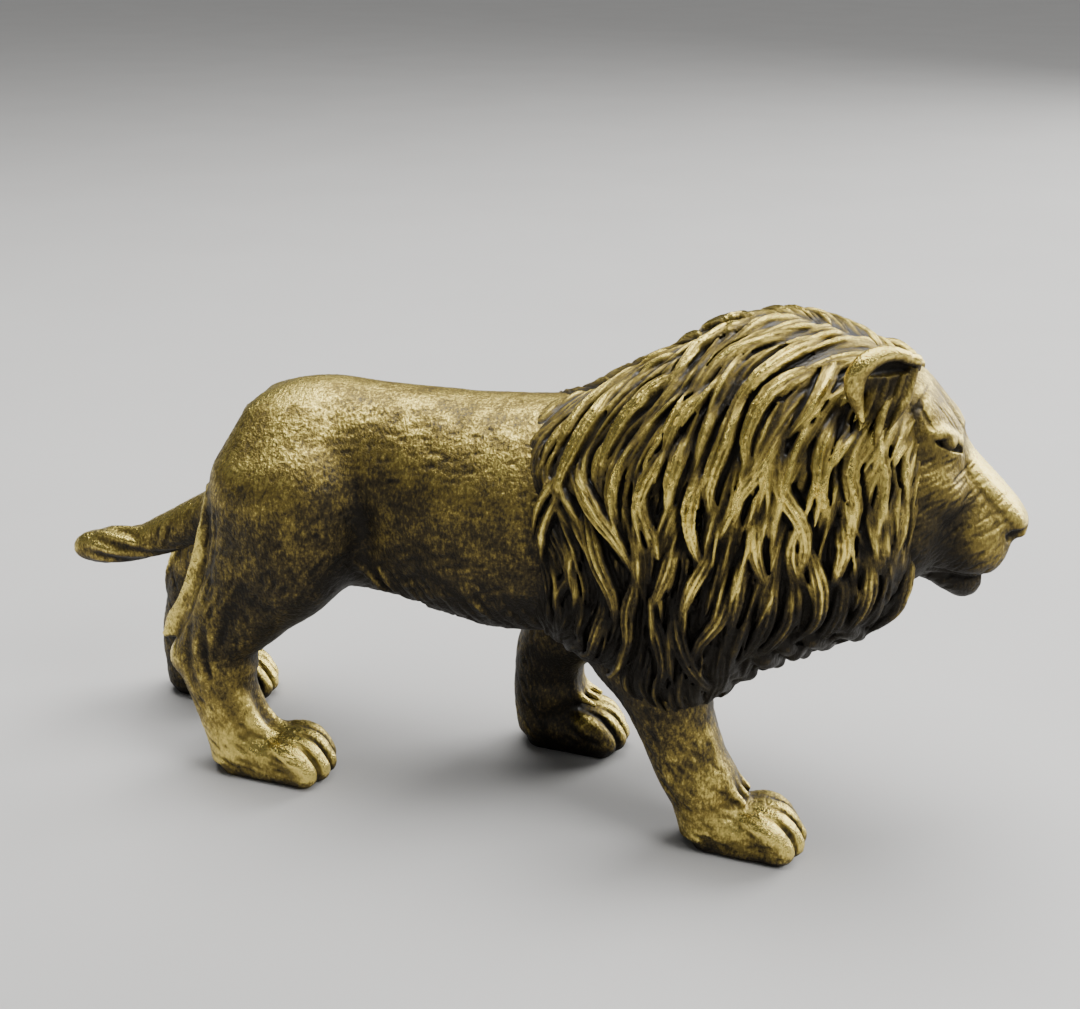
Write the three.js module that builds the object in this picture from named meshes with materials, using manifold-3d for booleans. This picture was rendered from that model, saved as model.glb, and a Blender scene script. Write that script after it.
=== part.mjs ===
import * as THREE from "three";
import { mergeVertices } from "three/addons/utils/BufferGeometryUtils.js";
import Module from "manifold-3d";

// A walking lion in brass, cast in sections that are doweled and brazed together.
// Millimetres: +X is forward, +Y is the lion's left, +Z is up, and the soles stand on z = 0.

const wasm = await Module();
wasm.setup();

// Joints between the castings
const seamGap = 0.3;
const dowelRadius = 1.2;
const dowelReach = 3.4; // depth of a dowel in each casting
const tenonRadius = 0.8; // spigots cast on the ears and the jaw
const tenonLength = 2.2;

// Trunk
const backHeight = 34;
const bellyHeight = 15.2;
const trunkHalfWidth = 7.2;
const rumpX = -26.8;
const neckX = 21; // flat face that the head casting meets
const corePlane = 2.5; // half thickness of the trunk between a pair of legs

// Legs
const trackWidth = 11.6; // between the mid-lines of the left and right paws
const hipX = rumpX + 8.8;
const hipHeight = 26;
const haunchDepth = 6.4; // half of the thigh's length, front to back
const shoulderX = 11.5;
const shoulderHeight = 22;
const shoulderDepth = 5.4;
const legHalfWidth = 3.8; // at the hip and the shoulder
const shankDepth = 3.1;
const shankHalfWidth = 2.5;
const elbowHeight = 13;
const wristHeight = 6.4;
const kneeHeight = 16.8;
const hockHeight = 9.6;
const leftHockDrop = 1.4; // the left hind leg is stretched back, so its hock is lower
const rightForePawX = 21.5; // x of the middle of each paw
const leftForePawX = 4.5;
const rightHindPawX = -19.1;
const leftHindPawX = -30;
const forePawLength = 10.3;
const hindPawLength = 11.2;
const pawHalfWidth = 2.95;
const pawHeight = 4.2;
const toeCount = 4;
const toeHeight = 3.1;
const toeLength = 4.2;

// Mane
const maneTop = 41.9;
const maneBottom = 11.6;
const maneHalfWidth = 10.6;
const maneRearX = 4;
const maneFrontX = 32.4;
const lockHalfWidth = 0.95; // of the broadest locks
const lockHalfHeight = 0.8;
const lockRise = 0.9; // how far the middle of a lock arches above its ends
const lockDepth = 0.55; // how deep its ends are bedded in the collar

// Head
const noseX = 40.1;
const noseHeight = 27.7;
const muzzleHalfWidth = 3.4;
const cheekHalfWidth = 5.7;
const browHeight = 36.6;
const chinHeight = 21.5;
const chinX = 37.4;
const eyeX = 33.7;
const eyeHeight = browHeight - 2.4;
const eyeSpacing = 6.4;
const eyeRadius = 1;
const earX = 28.4;
const earHeight = maneTop - 2.7;
const earSpacing = 13.4;
const leftEarDrop = 3.4; // the left ear lies lower, out of sight behind the crest
const earHalfHeight = 2.7;
const earHalfWidth = 2;
const earHalfDepth = 1.5;
const earWall = 0.85;

// Tail
const tailTipX = -40;
const tailRadius = 1.75;
const tailRootHeight = 20.4;
const tailSlope = 0.45; // fall of the tail for each millimetre back, at its root
const tailTipHeight = 15.9;
const tuftRadius = 2.1;

// The value of every column of rows at u, from 0 at the first row to 1 at the last.
function rowAt(rows, u) {
  const place = Math.min(Math.max(u, 0), 1) * (rows.length - 1);
  const i = Math.min(Math.floor(place), rows.length - 2);
  const t = place - i;
  const at = (k) => rows[Math.min(Math.max(k, 0), rows.length - 1)];
  return rows[i].map((_, c) => {
    const [a, b, d, e] = [at(i - 1)[c], at(i)[c], at(i + 1)[c], at(i + 2)[c]];
    const bend = 2 * a - 5 * b + 4 * d - e;
    return 0.5 * (2 * b + (d - a) * t + bend * t * t + (3 * (b - d) + e - a) * t * t * t);
  });
}

// A point on a rounded section; a power of 2 is an ellipse and more is squarer.
function sectionPoint(angle, halfAcross, halfUp, power) {
  const round = (v) => Math.sign(v) * Math.abs(v) ** (2 / power);
  return [halfAcross * round(Math.cos(angle)), halfUp * round(Math.sin(angle))];
}

// A closed skin through rings of equally many points, with a fan over each end.
function skin(rings) {
  const sides = rings[0].length;
  const points = rings.flat();
  const faces = [];
  for (let r = 0; r + 1 < rings.length; r++) {
    for (let k = 0; k < sides; k++) {
      const a = r * sides + k;
      const b = r * sides + ((k + 1) % sides);
      faces.push(a, b, b + sides, a, b + sides, a + sides);
    }
  }
  const closeEnd = (base, order) => {
    const hub = points.length;
    const ring = points.slice(base, base + sides);
    points.push(ring.reduce((sum, p) => sum.add(p), new THREE.Vector3()).divideScalar(sides));
    for (let k = 0; k < sides; k++) {
      const edge = [base + k, base + ((k + 1) % sides)];
      faces.push(hub, edge[order], edge[1 - order]);
    }
  };
  closeEnd(0, 1);
  closeEnd((rings.length - 1) * sides, 0);
  const geometry = new THREE.BufferGeometry().setFromPoints(points);
  geometry.setIndex(faces);
  return solid(geometry);
}

// Any closed geometry as a solid that can be joined and cut.
function solid(geometry) {
  const bare = geometry.clone();
  bare.deleteAttribute("normal");
  bare.deleteAttribute("uv");
  const merged = mergeVertices(bare, 1e-4);
  const mesh = new wasm.Mesh({
    numProp: 3,
    vertProperties: Float32Array.from(merged.attributes.position.array),
    triVerts: Uint32Array.from(merged.index.array),
  });
  return new wasm.Manifold(mesh);
}

// Sections that stand square to X: rows of x, top, bottom, half width and the power of the lower half.
function uprightLoft(rows, { sides, rings, power = 2.2, grow = 0, middleY = 0 }) {
  const made = [];
  for (let r = 0; r <= rings; r++) {
    const [x, top, bottom, half, lowerPower = power] = rowAt(rows, r / rings);
    const end = r === 0 ? -grow : r === rings ? grow : 0;
    const ring = [];
    for (let k = 0; k < sides; k++) {
      const angle = (2 * Math.PI * k) / sides;
      const round = angle > Math.PI ? lowerPower : power;
      const [y, z] = sectionPoint(angle, half + grow, (top - bottom) / 2 + grow, round);
      ring.push(new THREE.Vector3(x + end, middleY + y, (top + bottom) / 2 + z));
    }
    made.push(ring);
  }
  return skin(made);
}

// Sections square to a spine that runs in the XZ plane: rows of x, y, z, half depth and half width.
function limbLoft(rows, { sides, rings, power = 2.2, grow = 0 }) {
  const centre = (u) => new THREE.Vector3(...rowAt(rows, u).slice(0, 3));
  const step = 0.5 / rings;
  const made = [];
  for (let r = 0; r <= rings; r++) {
    const u = r / rings;
    const [, , , depth, width] = rowAt(rows, u);
    const along = centre(Math.min(u + step, 1)).sub(centre(Math.max(u - step, 0))).normalize();
    const across = new THREE.Vector3(-along.z, 0, along.x).normalize();
    const out = new THREE.Vector3().crossVectors(along, across).normalize();
    const end = r === 0 ? -grow : r === rings ? grow : 0;
    const middle = centre(u).addScaledVector(along, end);
    const ring = [];
    for (let k = 0; k < sides; k++) {
      const [a, b] = sectionPoint((2 * Math.PI * k) / sides, depth + grow, width + grow, power);
      ring.push(middle.clone().addScaledVector(across, a).addScaledVector(out, b));
    }
    made.push(ring);
  }
  return skin(made);
}

function ellipsoid(x, y, z, halfX, halfY, halfZ, { turn = [0, 0, 0], around = 10, rows = 7 } = {}) {
  const geometry = new THREE.SphereGeometry(1, around, rows);
  const pose = new THREE.Matrix4().compose(
    new THREE.Vector3(x, y, z),
    new THREE.Quaternion().setFromEuler(new THREE.Euler(...turn)),
    new THREE.Vector3(halfX, halfY, halfZ),
  );
  return solid(geometry.applyMatrix4(pose));
}

// A round rod from one point to another.
function rod(from, to, radius) {
  const along = to.clone().sub(from);
  const geometry = new THREE.CylinderGeometry(radius, radius, along.length(), 20);
  geometry.applyQuaternion(
    new THREE.Quaternion().setFromUnitVectors(new THREE.Vector3(0, 1, 0), along.clone().normalize()),
  );
  geometry.translate(...from.clone().add(to).multiplyScalar(0.5));
  return solid(geometry);
}

function block(low, high) {
  const size = high.clone().sub(low);
  const geometry = new THREE.BoxGeometry(size.x, size.y, size.z);
  return solid(geometry.translate(...low.clone().add(high).multiplyScalar(0.5)));
}

const reach = 200; // larger than the figure, for cuts that run right through
const underGround = block(new THREE.Vector3(-reach, -reach, -reach), new THREE.Vector3(reach, reach, 0));

// Trunk: from the rump to the neck face, with a full chest and a slightly drawn-in loin.
function trunkForm(grow = 0) {
  const rows = [
    [rumpX, backHeight - 12, bellyHeight + 3.8, 2.4],
    [rumpX + 1.3, backHeight - 8, bellyHeight + 2.2, 4.6],
    [rumpX + 3.4, backHeight - 3.6, bellyHeight + 1.6, 6],
    [rumpX + 5.8, backHeight - 1.2, bellyHeight + 1.4, 6.9],
    [hipX + 1.4, backHeight, bellyHeight + 1.4, trunkHalfWidth],
    [hipX + 8, backHeight - 0.1, bellyHeight + 0.6, trunkHalfWidth - 0.3],
    [(hipX + shoulderX) / 2 + 1, backHeight - 0.2, bellyHeight, trunkHalfWidth],
    [shoulderX - 6, backHeight + 0.3, bellyHeight, trunkHalfWidth + 0.2],
    [shoulderX + 2, backHeight + 1, bellyHeight + 1, trunkHalfWidth],
    [neckX, backHeight + 1, bellyHeight + 3, trunkHalfWidth - 1],
  ];
  return uprightLoft(rows, { sides: 18, rings: 15, grow });
}

// Paw: a low rounded block with toeCount toes along its front, flat underneath.
function pawForm(middleX, middleY, length, grow = 0) {
  const heel = middleX - length / 2;
  const toeX = middleX + length / 2;
  const toeHalfWidth = pawHalfWidth / toeCount + 0.18;
  const rows = [
    [heel, pawHeight * 0.7, 0.3, pawHalfWidth * 0.5],
    [heel + 1.2, pawHeight * 0.95, -0.3, pawHalfWidth * 0.76],
    [heel + length * 0.35, pawHeight, -0.4, pawHalfWidth * 0.88],
    [heel + length * 0.62, pawHeight * 0.96, -0.4, pawHalfWidth],
    [toeX - 2.4, pawHeight * 0.74, -0.3, pawHalfWidth * 0.94],
    [toeX - 1.3, pawHeight * 0.5, 0.2, pawHalfWidth * 0.78],
  ];
  let paw = uprightLoft(rows, { sides: 10, rings: 6, power: 2.3, grow, middleY });
  for (let k = 0; k < toeCount; k++) {
    const share = (k + 0.5) / toeCount - 0.5; // from -0.5 on the inside to 0.5 on the outside
    const x = toeX - toeLength / 2 - 5 * share * share;
    const y = middleY + share * 2 * (pawHalfWidth - 0.1);
    const size = [toeLength / 2 + grow, toeHalfWidth + grow, toeHeight * 0.54 + grow];
    const toe = ellipsoid(x, y, toeHeight * 0.46, ...size, { turn: [0, 0, share * 0.35], around: 8, rows: 5 });
    paw = paw.add(toe);
  }
  return paw;
}

// A leg from its rows and its paw, on the right for side -1 and on the left for side 1.
function legForm(leg, grow = 0) {
  const y = (leg.side * trackWidth) / 2;
  const rows = leg.rows.map(([x, z, depth, width, inset]) => [x, y - leg.side * inset, z, depth, width]);
  let form = limbLoft(rows, { sides: 12, rings: 11, power: 2.3, grow });
  form = form.add(pawForm(leg.pawX, y, leg.pawLength, grow));
  const inner = corePlane - grow;
  const low = new THREE.Vector3(-reach, leg.side > 0 ? -reach : -inner, -reach);
  const high = new THREE.Vector3(reach, leg.side > 0 ? inner : reach, reach);
  return form.subtract(block(low, high)).subtract(underGround);
}

// Each leg's rows run down its spine: x, z, half depth, half width, and how far it lies inside its paw's line.
const legs = {
  right_foreleg: {
    side: -1,
    pawX: rightForePawX,
    pawLength: forePawLength,
    rows: [
      [shoulderX - 0.2, shoulderHeight + 5, 3.2, 2.2, 1.6],
      [shoulderX, shoulderHeight + 2, shoulderDepth, legHalfWidth, 1.1],
      [shoulderX + 0.9, shoulderHeight - 4, shoulderDepth - 0.3, legHalfWidth, 0.9],
      [rightForePawX - 7, elbowHeight + 0.6, 3.9, 3.3, 0.5],
      [rightForePawX - 5.7, wristHeight + 3.6, shankDepth + 0.1, shankHalfWidth + 0.3, 0.2],
      [rightForePawX - 4.5, wristHeight + 0.6, shankDepth - 0.1, shankHalfWidth, 0],
      [rightForePawX - 3.3, wristHeight - 2, shankDepth - 0.3, shankHalfWidth + 0.1, 0],
      [rightForePawX - 2.5, pawHeight / 3, shankDepth - 0.4, shankHalfWidth, 0],
    ],
  },
  left_foreleg: {
    side: 1,
    pawX: leftForePawX,
    pawLength: forePawLength,
    rows: [
      [shoulderX - 0.2, shoulderHeight + 5, 3.2, 2.2, 1.6],
      [shoulderX - 0.6, shoulderHeight + 2, shoulderDepth, legHalfWidth, 1.1],
      [shoulderX - 3, shoulderHeight - 4, shoulderDepth, legHalfWidth, 0.9],
      [leftForePawX + 0.6, elbowHeight, 4.2, 3.3, 0.5],
      [leftForePawX - 1.8, elbowHeight - 3.4, shankDepth + 0.2, shankHalfWidth + 0.3, 0.2],
      [leftForePawX - 2.3, wristHeight, shankDepth, shankHalfWidth, 0],
      [leftForePawX - 2.3, wristHeight - 2.8, shankDepth, shankHalfWidth + 0.1, 0],
      [leftForePawX - 2.2, pawHeight / 3, shankDepth - 0.4, shankHalfWidth, 0],
    ],
  },
  right_hindleg: {
    side: -1,
    pawX: rightHindPawX,
    pawLength: hindPawLength,
    rows: [
      [hipX + 0.2, hipHeight + 5, 3.4, 2, 1.8],
      [hipX + 0.2, hipHeight + 1.6, haunchDepth, legHalfWidth, 1.2],
      [hipX, hipHeight - 5, haunchDepth - 0.1, legHalfWidth + 0.1, 0.9],
      [hipX - 3.1, kneeHeight - 0.8, 4.8, 3.5, 0.5],
      [rightHindPawX - 4.3, hockHeight + 2.8, 3.9, 2.9, 0.2],
      [rightHindPawX - 4.4, hockHeight - 0.2, shankDepth + 0.7, shankHalfWidth + 0.2, 0],
      [rightHindPawX - 3.8, hockHeight - 2.8, shankDepth + 0.4, shankHalfWidth, 0],
      [rightHindPawX - 3.1, pawHeight, shankDepth, shankHalfWidth + 0.1, 0],
      [rightHindPawX - 2.6, pawHeight / 3, shankDepth - 0.1, shankHalfWidth, 0],
    ],
  },
  left_hindleg: {
    side: 1,
    pawX: leftHindPawX,
    pawLength: hindPawLength,
    rows: [
      [hipX + 0.2, hipHeight + 5, 3.4, 2, 1.8],
      [hipX - 0.4, hipHeight + 1.6, haunchDepth, legHalfWidth, 1.2],
      [hipX - 3.2, hipHeight - 5, haunchDepth - 0.1, legHalfWidth + 0.1, 0.9],
      [hipX - 7.2, kneeHeight - 0.8, 4.9, 3.5, 0.5],
      [leftHindPawX + 0.4, hockHeight - leftHockDrop + 3.8, 3.9, 2.9, 0.2],
      [leftHindPawX - 1.7, hockHeight - leftHockDrop + 0.6, shankDepth + 0.1, shankHalfWidth + 0.2, 0],
      [leftHindPawX - 2.5, hockHeight - leftHockDrop - 2.3, shankDepth, shankHalfWidth, 0],
      [leftHindPawX - 2.5, pawHeight - 1, shankDepth - 0.1, shankHalfWidth + 0.1, 0],
      [leftHindPawX - 2.3, pawHeight / 3, shankDepth - 0.3, shankHalfWidth, 0],
    ],
  },
};

// Mane: a deep collar from maneRearX to the face.
const maneRows = [
  [maneRearX, backHeight + 0.3, bellyHeight - 0.6, trunkHalfWidth + 0.6, 2.4],
  [maneRearX + 3.4, backHeight + 1.2, maneBottom + 2.2, maneHalfWidth - 1.8, 3],
  [maneRearX + 8, backHeight + 4, maneBottom + 1.2, maneHalfWidth - 0.5, 4.6],
  [maneRearX + 12.4, maneTop - 1.6, maneBottom + 0.6, maneHalfWidth, 4.6],
  [maneRearX + 16.8, maneTop, maneBottom + 1.8, maneHalfWidth, 2.3],
  [maneFrontX - 8.4, maneTop - 0.2, maneBottom + 3.6, maneHalfWidth - 0.2, 2.1],
  [maneFrontX - 4.4, maneTop - 1.5, maneBottom + 5.6, maneHalfWidth - 1, 2.1],
  [maneFrontX - 1.7, maneTop - 3.8, maneBottom + 7.4, maneHalfWidth - 2.4, 2.1],
  [maneFrontX - 0.3, maneTop - 6.6, maneBottom + 9.4, maneHalfWidth - 4.6, 2.1],
];
const manePower = 2.1;

// The point of the mane's surface at u along it, at an angle round from the crest, raised by lift.
function manePoint(u, angle, side, lift) {
  const [x, top, bottom, half, lowerPower] = rowAt(maneRows, u);
  const power = angle > Math.PI / 2 ? lowerPower : manePower;
  const [y, z] = sectionPoint(Math.PI / 2 - angle, half + lift, (top - bottom) / 2 + lift, power);
  return new THREE.Vector3(x, side * y, (top + bottom) / 2 + z);
}

// Where a mark seen from the side lies: its place along the mane and its angle round from the crest.
function onMane([x, z]) {
  let rear = 0;
  let front = 1;
  for (let n = 0; n < 16; n++) {
    const u = (rear + front) / 2;
    if (rowAt(maneRows, u)[0] < x) rear = u;
    else front = u;
  }
  const [, top, bottom, , lowerPower] = rowAt(maneRows, rear);
  const rise = THREE.MathUtils.clamp((2 * z - top - bottom) / (top - bottom), -0.97, 0.995);
  const power = rise < 0 ? lowerPower : manePower;
  return [rear, Math.PI / 2 - Math.asin(Math.sign(rise) * Math.abs(rise) ** (power / 2))];
}

// The leading locks, each from its root to its tip: its breadth, then marks seen from the side, x and z.
const leadingLocks = [
  [0.95, [23.4, 41.9], [19.2, 40.9], [16, 39.2], [14.2, 36.6]],
  [0.9, [29.9, 39.9], [26.8, 41.8], [22.6, 42.2], [19.5, 41.9]],
  [0.75, [28.2, 41], [24.8, 41.4], [21.4, 40.8]],
  [0.75, [22.4, 41.2], [18.6, 39.6], [16.6, 37.2]],
  [0.85, [15.4, 38.2], [12.8, 36.2], [10.8, 33.4], [10, 30.8]],
  [0.8, [17.6, 37.6], [15.6, 35.4], [14.8, 32.8]],
  [0.8, [10.4, 36.4], [7.8, 34.2], [6, 31.6]],
  [0.9, [12.6, 38], [9.6, 35], [7.4, 31.1], [6.6, 28.5]],
  [0.85, [25, 40.9], [22.4, 39.8], [20.2, 37.9], [19.2, 35.8]],
  [0.85, [24.4, 39.4], [21.8, 37.8], [20.6, 35.2], [20.8, 33]],
  [0.95, [19.9, 38.2], [19.1, 34.8], [18.3, 31.6], [18.6, 29.2]],
  [0.8, [22.9, 35.8], [21.9, 33.4], [20.4, 31], [20.4, 28.6]],
  [0.8, [25.8, 40], [24.9, 37.6], [23.4, 35.4]],
  [0.8, [26.6, 37.4], [25.6, 34.6], [25.8, 32], [26.6, 29.8]],
  [0.75, [28.2, 36], [27.6, 33.4], [28.2, 30.8], [28, 28.4]],
  [0.75, [30.3, 38.3], [29.2, 35.1], [29.8, 32.4], [29.2, 29.6]],
  [0.9, [22.8, 35], [23.2, 32], [24.8, 29.6], [25.1, 27.2], [24.2, 24.6]],
  [0.85, [15.2, 33.8], [13.5, 30.6], [13.2, 27.4]],
  [0.9, [17.6, 32.4], [17.1, 29], [18, 25.6]],
  [0.8, [13.2, 32], [13.7, 28.9], [15.3, 25.8]],
  [0.8, [16.2, 34.6], [15.6, 31.8], [15.4, 29.2]],
  [0.8, [11.6, 32.6], [11.2, 30], [11.8, 27.6]],
  [0.85, [21.6, 30], [21.8, 27], [22.8, 24.2]],
  [0.85, [16.2, 27.4], [15.4, 24.4], [14.4, 21.6]],
  [0.85, [18.6, 27], [17.4, 24], [16.6, 21]],
  [1, [7.6, 31], [9.6, 28.8], [11.9, 26.7], [13.4, 24]],
  [1, [9.1, 28.6], [10.2, 25.4], [11.6, 22.4], [11.8, 19.8]],
  [0.6, [7.8, 34.2], [5.8, 32.4], [4.8, 30]],
  [0.6, [7.2, 29.6], [5.6, 26.4], [5.6, 23.4]],
  [0.8, [8.4, 26], [8.2, 23], [9.2, 20.4]],
  [0.8, [13.4, 24.6], [12.8, 21.6], [12.8, 18.8], [12, 16.2]],
  [0.8, [27.4, 30], [27.6, 27.4], [26.9, 24.6]],
  [0.8, [31.4, 26.4], [31, 23.8], [30, 21.2], [27.6, 18.3]],
  [0.9, [25.4, 28], [26.3, 24.9], [25.9, 21.7], [23.6, 18.8]],
  [0.8, [27.8, 25.4], [27.4, 22.2], [25.8, 19.4], [23.4, 17.2]],
  [0.8, [24.4, 24.4], [24, 21.6], [22.4, 18.8], [20.6, 16.8]],
  [0.9, [20, 24], [19.3, 21.8], [18, 19.6], [17.3, 17]],
  [0.9, [16.1, 22.6], [16.7, 19.4], [17.9, 16.4], [19.2, 14]],
  [0.9, [14.2, 21.9], [15.3, 19.2], [15.5, 16.8], [14.6, 14]],
  [0.8, [11, 21.2], [10.3, 18.4], [9.4, 15.6]],
  [0.9, [23.2, 26], [22.7, 22], [21.3, 19], [19.2, 16]],
  [0.8, [20.9, 26.4], [20.4, 23], [19.8, 19.8]],
  [0.8, [29.3, 27.6], [29.4, 24.4], [28.3, 21.3], [25.6, 18]],
  [0.6, [31, 35.6], [30.7, 33.4], [30.9, 31], [30.6, 28]],
  [0.7, [31.2, 31.2], [31.2, 28.8], [30.6, 26.4]],
];

// One lock: a tapering band with a ridge along it, rooted in the collar, that arches up and lies down again.
function lockForm([breadth, ...marks], side) {
  const steps = 2 * marks.length - 1;
  const spine = [];
  for (let s = 0; s <= steps; s++) {
    const t = s / steps;
    const [u, angle] = onMane(rowAt(marks, t));
    const lift = lockRise * breadth * Math.sin(Math.PI * (0.1 + 0.8 * t)) - lockDepth;
    const point = manePoint(u, angle, side, lift);
    spine.push({ point, out: manePoint(u, angle, side, lift + 1).sub(point).normalize() });
  }
  const rings = spine.map(({ point, out }, s) => {
    const t = s / steps;
    const ahead = spine[Math.min(s + 1, steps)].point;
    const along = ahead.clone().sub(spine[Math.max(s - 1, 0)].point).normalize();
    const across = new THREE.Vector3().crossVectors(out, along).normalize();
    const raised = new THREE.Vector3().crossVectors(along, across).normalize();
    const swell = 0.5 + 0.5 * THREE.MathUtils.smoothstep(t, 0, 0.3);
    const taper = Math.max(swell * (1 - t ** 2.2) ** 0.7, 0.15);
    const corner = (aside, up) =>
      point
        .clone()
        .addScaledVector(across, aside * breadth * lockHalfWidth * taper)
        .addScaledVector(raised, up * breadth * lockHalfHeight * taper);
    return [corner(1, -0.5), corner(0, 1), corner(-1, -0.5)];
  });
  return skin(rings);
}

function maneForm() {
  let form = uprightLoft(maneRows, { sides: 20, rings: 12, power: manePower });
  for (const side of [-1, 1]) {
    for (const lock of leadingLocks) form = form.add(lockForm(lock, side));
  }
  return form;
}

// Head: skull and muzzle in one loft, with brows, whisker pads, nose and eyes.
function skullForm(grow = 0) {
  const rows = [
    [neckX + seamGap, backHeight + 1, bellyHeight + 4, trunkHalfWidth - 1.6],
    [neckX + 5, browHeight + 1.6, chinHeight + 0.6, cheekHalfWidth - 0.2],
    [eyeX - 3, browHeight + 1.9, chinHeight + 1, cheekHalfWidth],
    [eyeX - 1.2, browHeight + 0.8, chinHeight + 1.6, cheekHalfWidth - 0.5],
    [eyeX + 0.4, browHeight - 1.6, chinHeight + 1.4, cheekHalfWidth - 1.5],
    [eyeX + 1.9, noseHeight + 4.6, chinHeight + 1.2, muzzleHalfWidth + 0.3],
    [noseX - 3, noseHeight + 3.1, chinHeight + 1.4, muzzleHalfWidth - 0.1],
    [noseX - 1.5, noseHeight + 1.7, chinHeight + 3, muzzleHalfWidth - 0.9],
    [noseX - 0.5, noseHeight + 0.7, noseHeight - 1.2, muzzleHalfWidth - 1.6],
    [noseX, noseHeight + 0.3, noseHeight - 0.6, 1],
  ];
  return uprightLoft(rows, { sides: 16, rings: 15, power: 2.6, grow });
}

function headForm() {
  let form = skullForm();
  for (const side of [-1, 1]) {
    const eyeY = (side * eyeSpacing) / 2;
    const padY = side * (muzzleHalfWidth - 1.7);
    const slope = { turn: [0, 0.8, 0] }; // the fall of the forehead
    const socket = ellipsoid(eyeX + 0.6, eyeY + side * 0.6, eyeHeight - 0.1, 1.5, 1.5, 0.9, slope);
    const eye = ellipsoid(eyeX - 0.2, eyeY - side * 0.4, eyeHeight - 0.2, eyeRadius, eyeRadius, eyeRadius);
    const brow = ellipsoid(eyeX - 0.5, eyeY - side * 0.5, eyeHeight + 1.1, 1.7, 1.6, 0.6, slope);
    const pad = ellipsoid(noseX - 3.5, padY, noseHeight - 2.6, 2.1, 1.8, 2.2);
    const nostril = ellipsoid(noseX - 0.3, side, noseHeight - 0.8, 0.8, 0.4, 0.5, { around: 6, rows: 4 });
    form = form.subtract(socket).add(eye).add(brow).add(pad).subtract(nostril);
  }
  return form;
}

// Lower jaw: a shallow boat shape on a spigot that enters the head.
function jawForm(grow = 0) {
  const rows = [
    [chinX - 7, chinHeight + 3.6, chinHeight + 1.8, muzzleHalfWidth - 1.6],
    [chinX - 4.6, chinHeight + 2.9, chinHeight + 1.1, muzzleHalfWidth - 0.9],
    [chinX - 2.4, chinHeight + 2.4, chinHeight + 0.1, muzzleHalfWidth - 1.1],
    [chinX - 0.6, chinHeight + 2.2, chinHeight + 0.1, muzzleHalfWidth - 1.6],
    [chinX, chinHeight + 2, chinHeight + 0.8, muzzleHalfWidth - 2.2],
  ];
  const top = new THREE.Vector3(chinX - 4, 0, chinHeight + 2 + tenonLength);
  const tenon = rod(new THREE.Vector3(top.x, 0, chinHeight + 1.5), top.setZ(top.z + grow), tenonRadius + grow);
  return uprightLoft(rows, { sides: 14, rings: 10, grow }).add(tenon);
}

// Ear: a round cup open to the front and the side, on a spigot that enters the mane.
function earForm(side, grow = 0) {
  const y = (side * earSpacing) / 2;
  const z = side > 0 ? earHeight - leftEarDrop : earHeight;
  const turn = [side * -0.35, 0.25, side * -0.5];
  const outer = [earHalfWidth + grow, earHalfDepth + grow, earHalfHeight + grow];
  const inner = [earHalfWidth - earWall, earHalfDepth - 0.2, earHalfHeight - earWall];
  const cup = ellipsoid(earX, y, z, ...outer, { turn, around: 12, rows: 9 });
  const hollow = ellipsoid(earX + 0.9, y + side * 0.9, z + 0.3, ...inner, { turn });
  const root = new THREE.Vector3(earX - 0.3, y - side * (tenonLength + grow), z - 2 - tenonLength);
  const spigot = rod(root, new THREE.Vector3(earX, y, z - 0.5), tenonRadius + grow);
  return (grow ? cup : cup.subtract(hollow)).add(spigot);
}

// Tail: held straight back, with a leaf-shaped tuft.
function tailForm() {
  const rows = [
    [rumpX + 4, 0, tailRootHeight + 4 * tailSlope, tailRadius + 0.5, tailRadius + 0.5],
    [rumpX - 1, 0, tailRootHeight - tailSlope, tailRadius + 0.2, tailRadius + 0.2],
    [rumpX - 4, 0, tailRootHeight - 4 * tailSlope, tailRadius, tailRadius],
    [tailTipX + 6.5, 0, tailTipHeight + 1.3, tailRadius, tailRadius],
    [tailTipX + 3.6, 0, tailTipHeight + 0.7, tuftRadius, tuftRadius - 0.2],
    [tailTipX + 1.4, 0, tailTipHeight + 0.3, tuftRadius - 0.6, tuftRadius - 0.8],
    [tailTipX, 0, tailTipHeight, 0.5, 0.4],
  ];
  return limbLoft(rows, { sides: 14, rings: 14, power: 2 });
}

// Dowels: one through both hips, one through both shoulders, one in the neck and one in the tail.
function crossDowel(x, z, grow = 0) {
  const end = corePlane + dowelReach + grow;
  return rod(new THREE.Vector3(x, -end, z), new THREE.Vector3(x, end, z), dowelRadius + grow);
}
function lengthDowel(x, z, slope, grow = 0) {
  const along = new THREE.Vector3(1, 0, slope).setLength(dowelReach + grow);
  const middle = new THREE.Vector3(x, 0, z);
  return rod(middle.clone().sub(along), middle.clone().add(along), dowelRadius + grow);
}
const neckDowelHeight = (backHeight + bellyHeight) / 2 + 2;
const dowels = {
  hip_dowel: (grow) => crossDowel(hipX, hipHeight - 1, grow),
  shoulder_dowel: (grow) => crossDowel(shoulderX - 0.5, shoulderHeight, grow),
  neck_dowel: (grow) => lengthDowel(neckX, neckDowelHeight, 0, grow),
  tail_dowel: (grow) => lengthDowel(rumpX + 0.8, tailRootHeight, tailSlope, grow),
};

// Each casting keeps its own form and is cut clear of the ones it is fitted round.
const cut = (form, ...tools) => tools.reduce((left, tool) => left.subtract(tool), form);
const sockets = Object.values(dowels).map((dowel) => dowel(seamGap));
const grownLegs = Object.values(legs).map((leg) => legForm(leg, seamGap));
const grownEars = [-1, 1].map((side) => earForm(side, seamGap));

const grownCore = [trunkForm(seamGap), skullForm(seamGap), jawForm(seamGap)];

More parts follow.
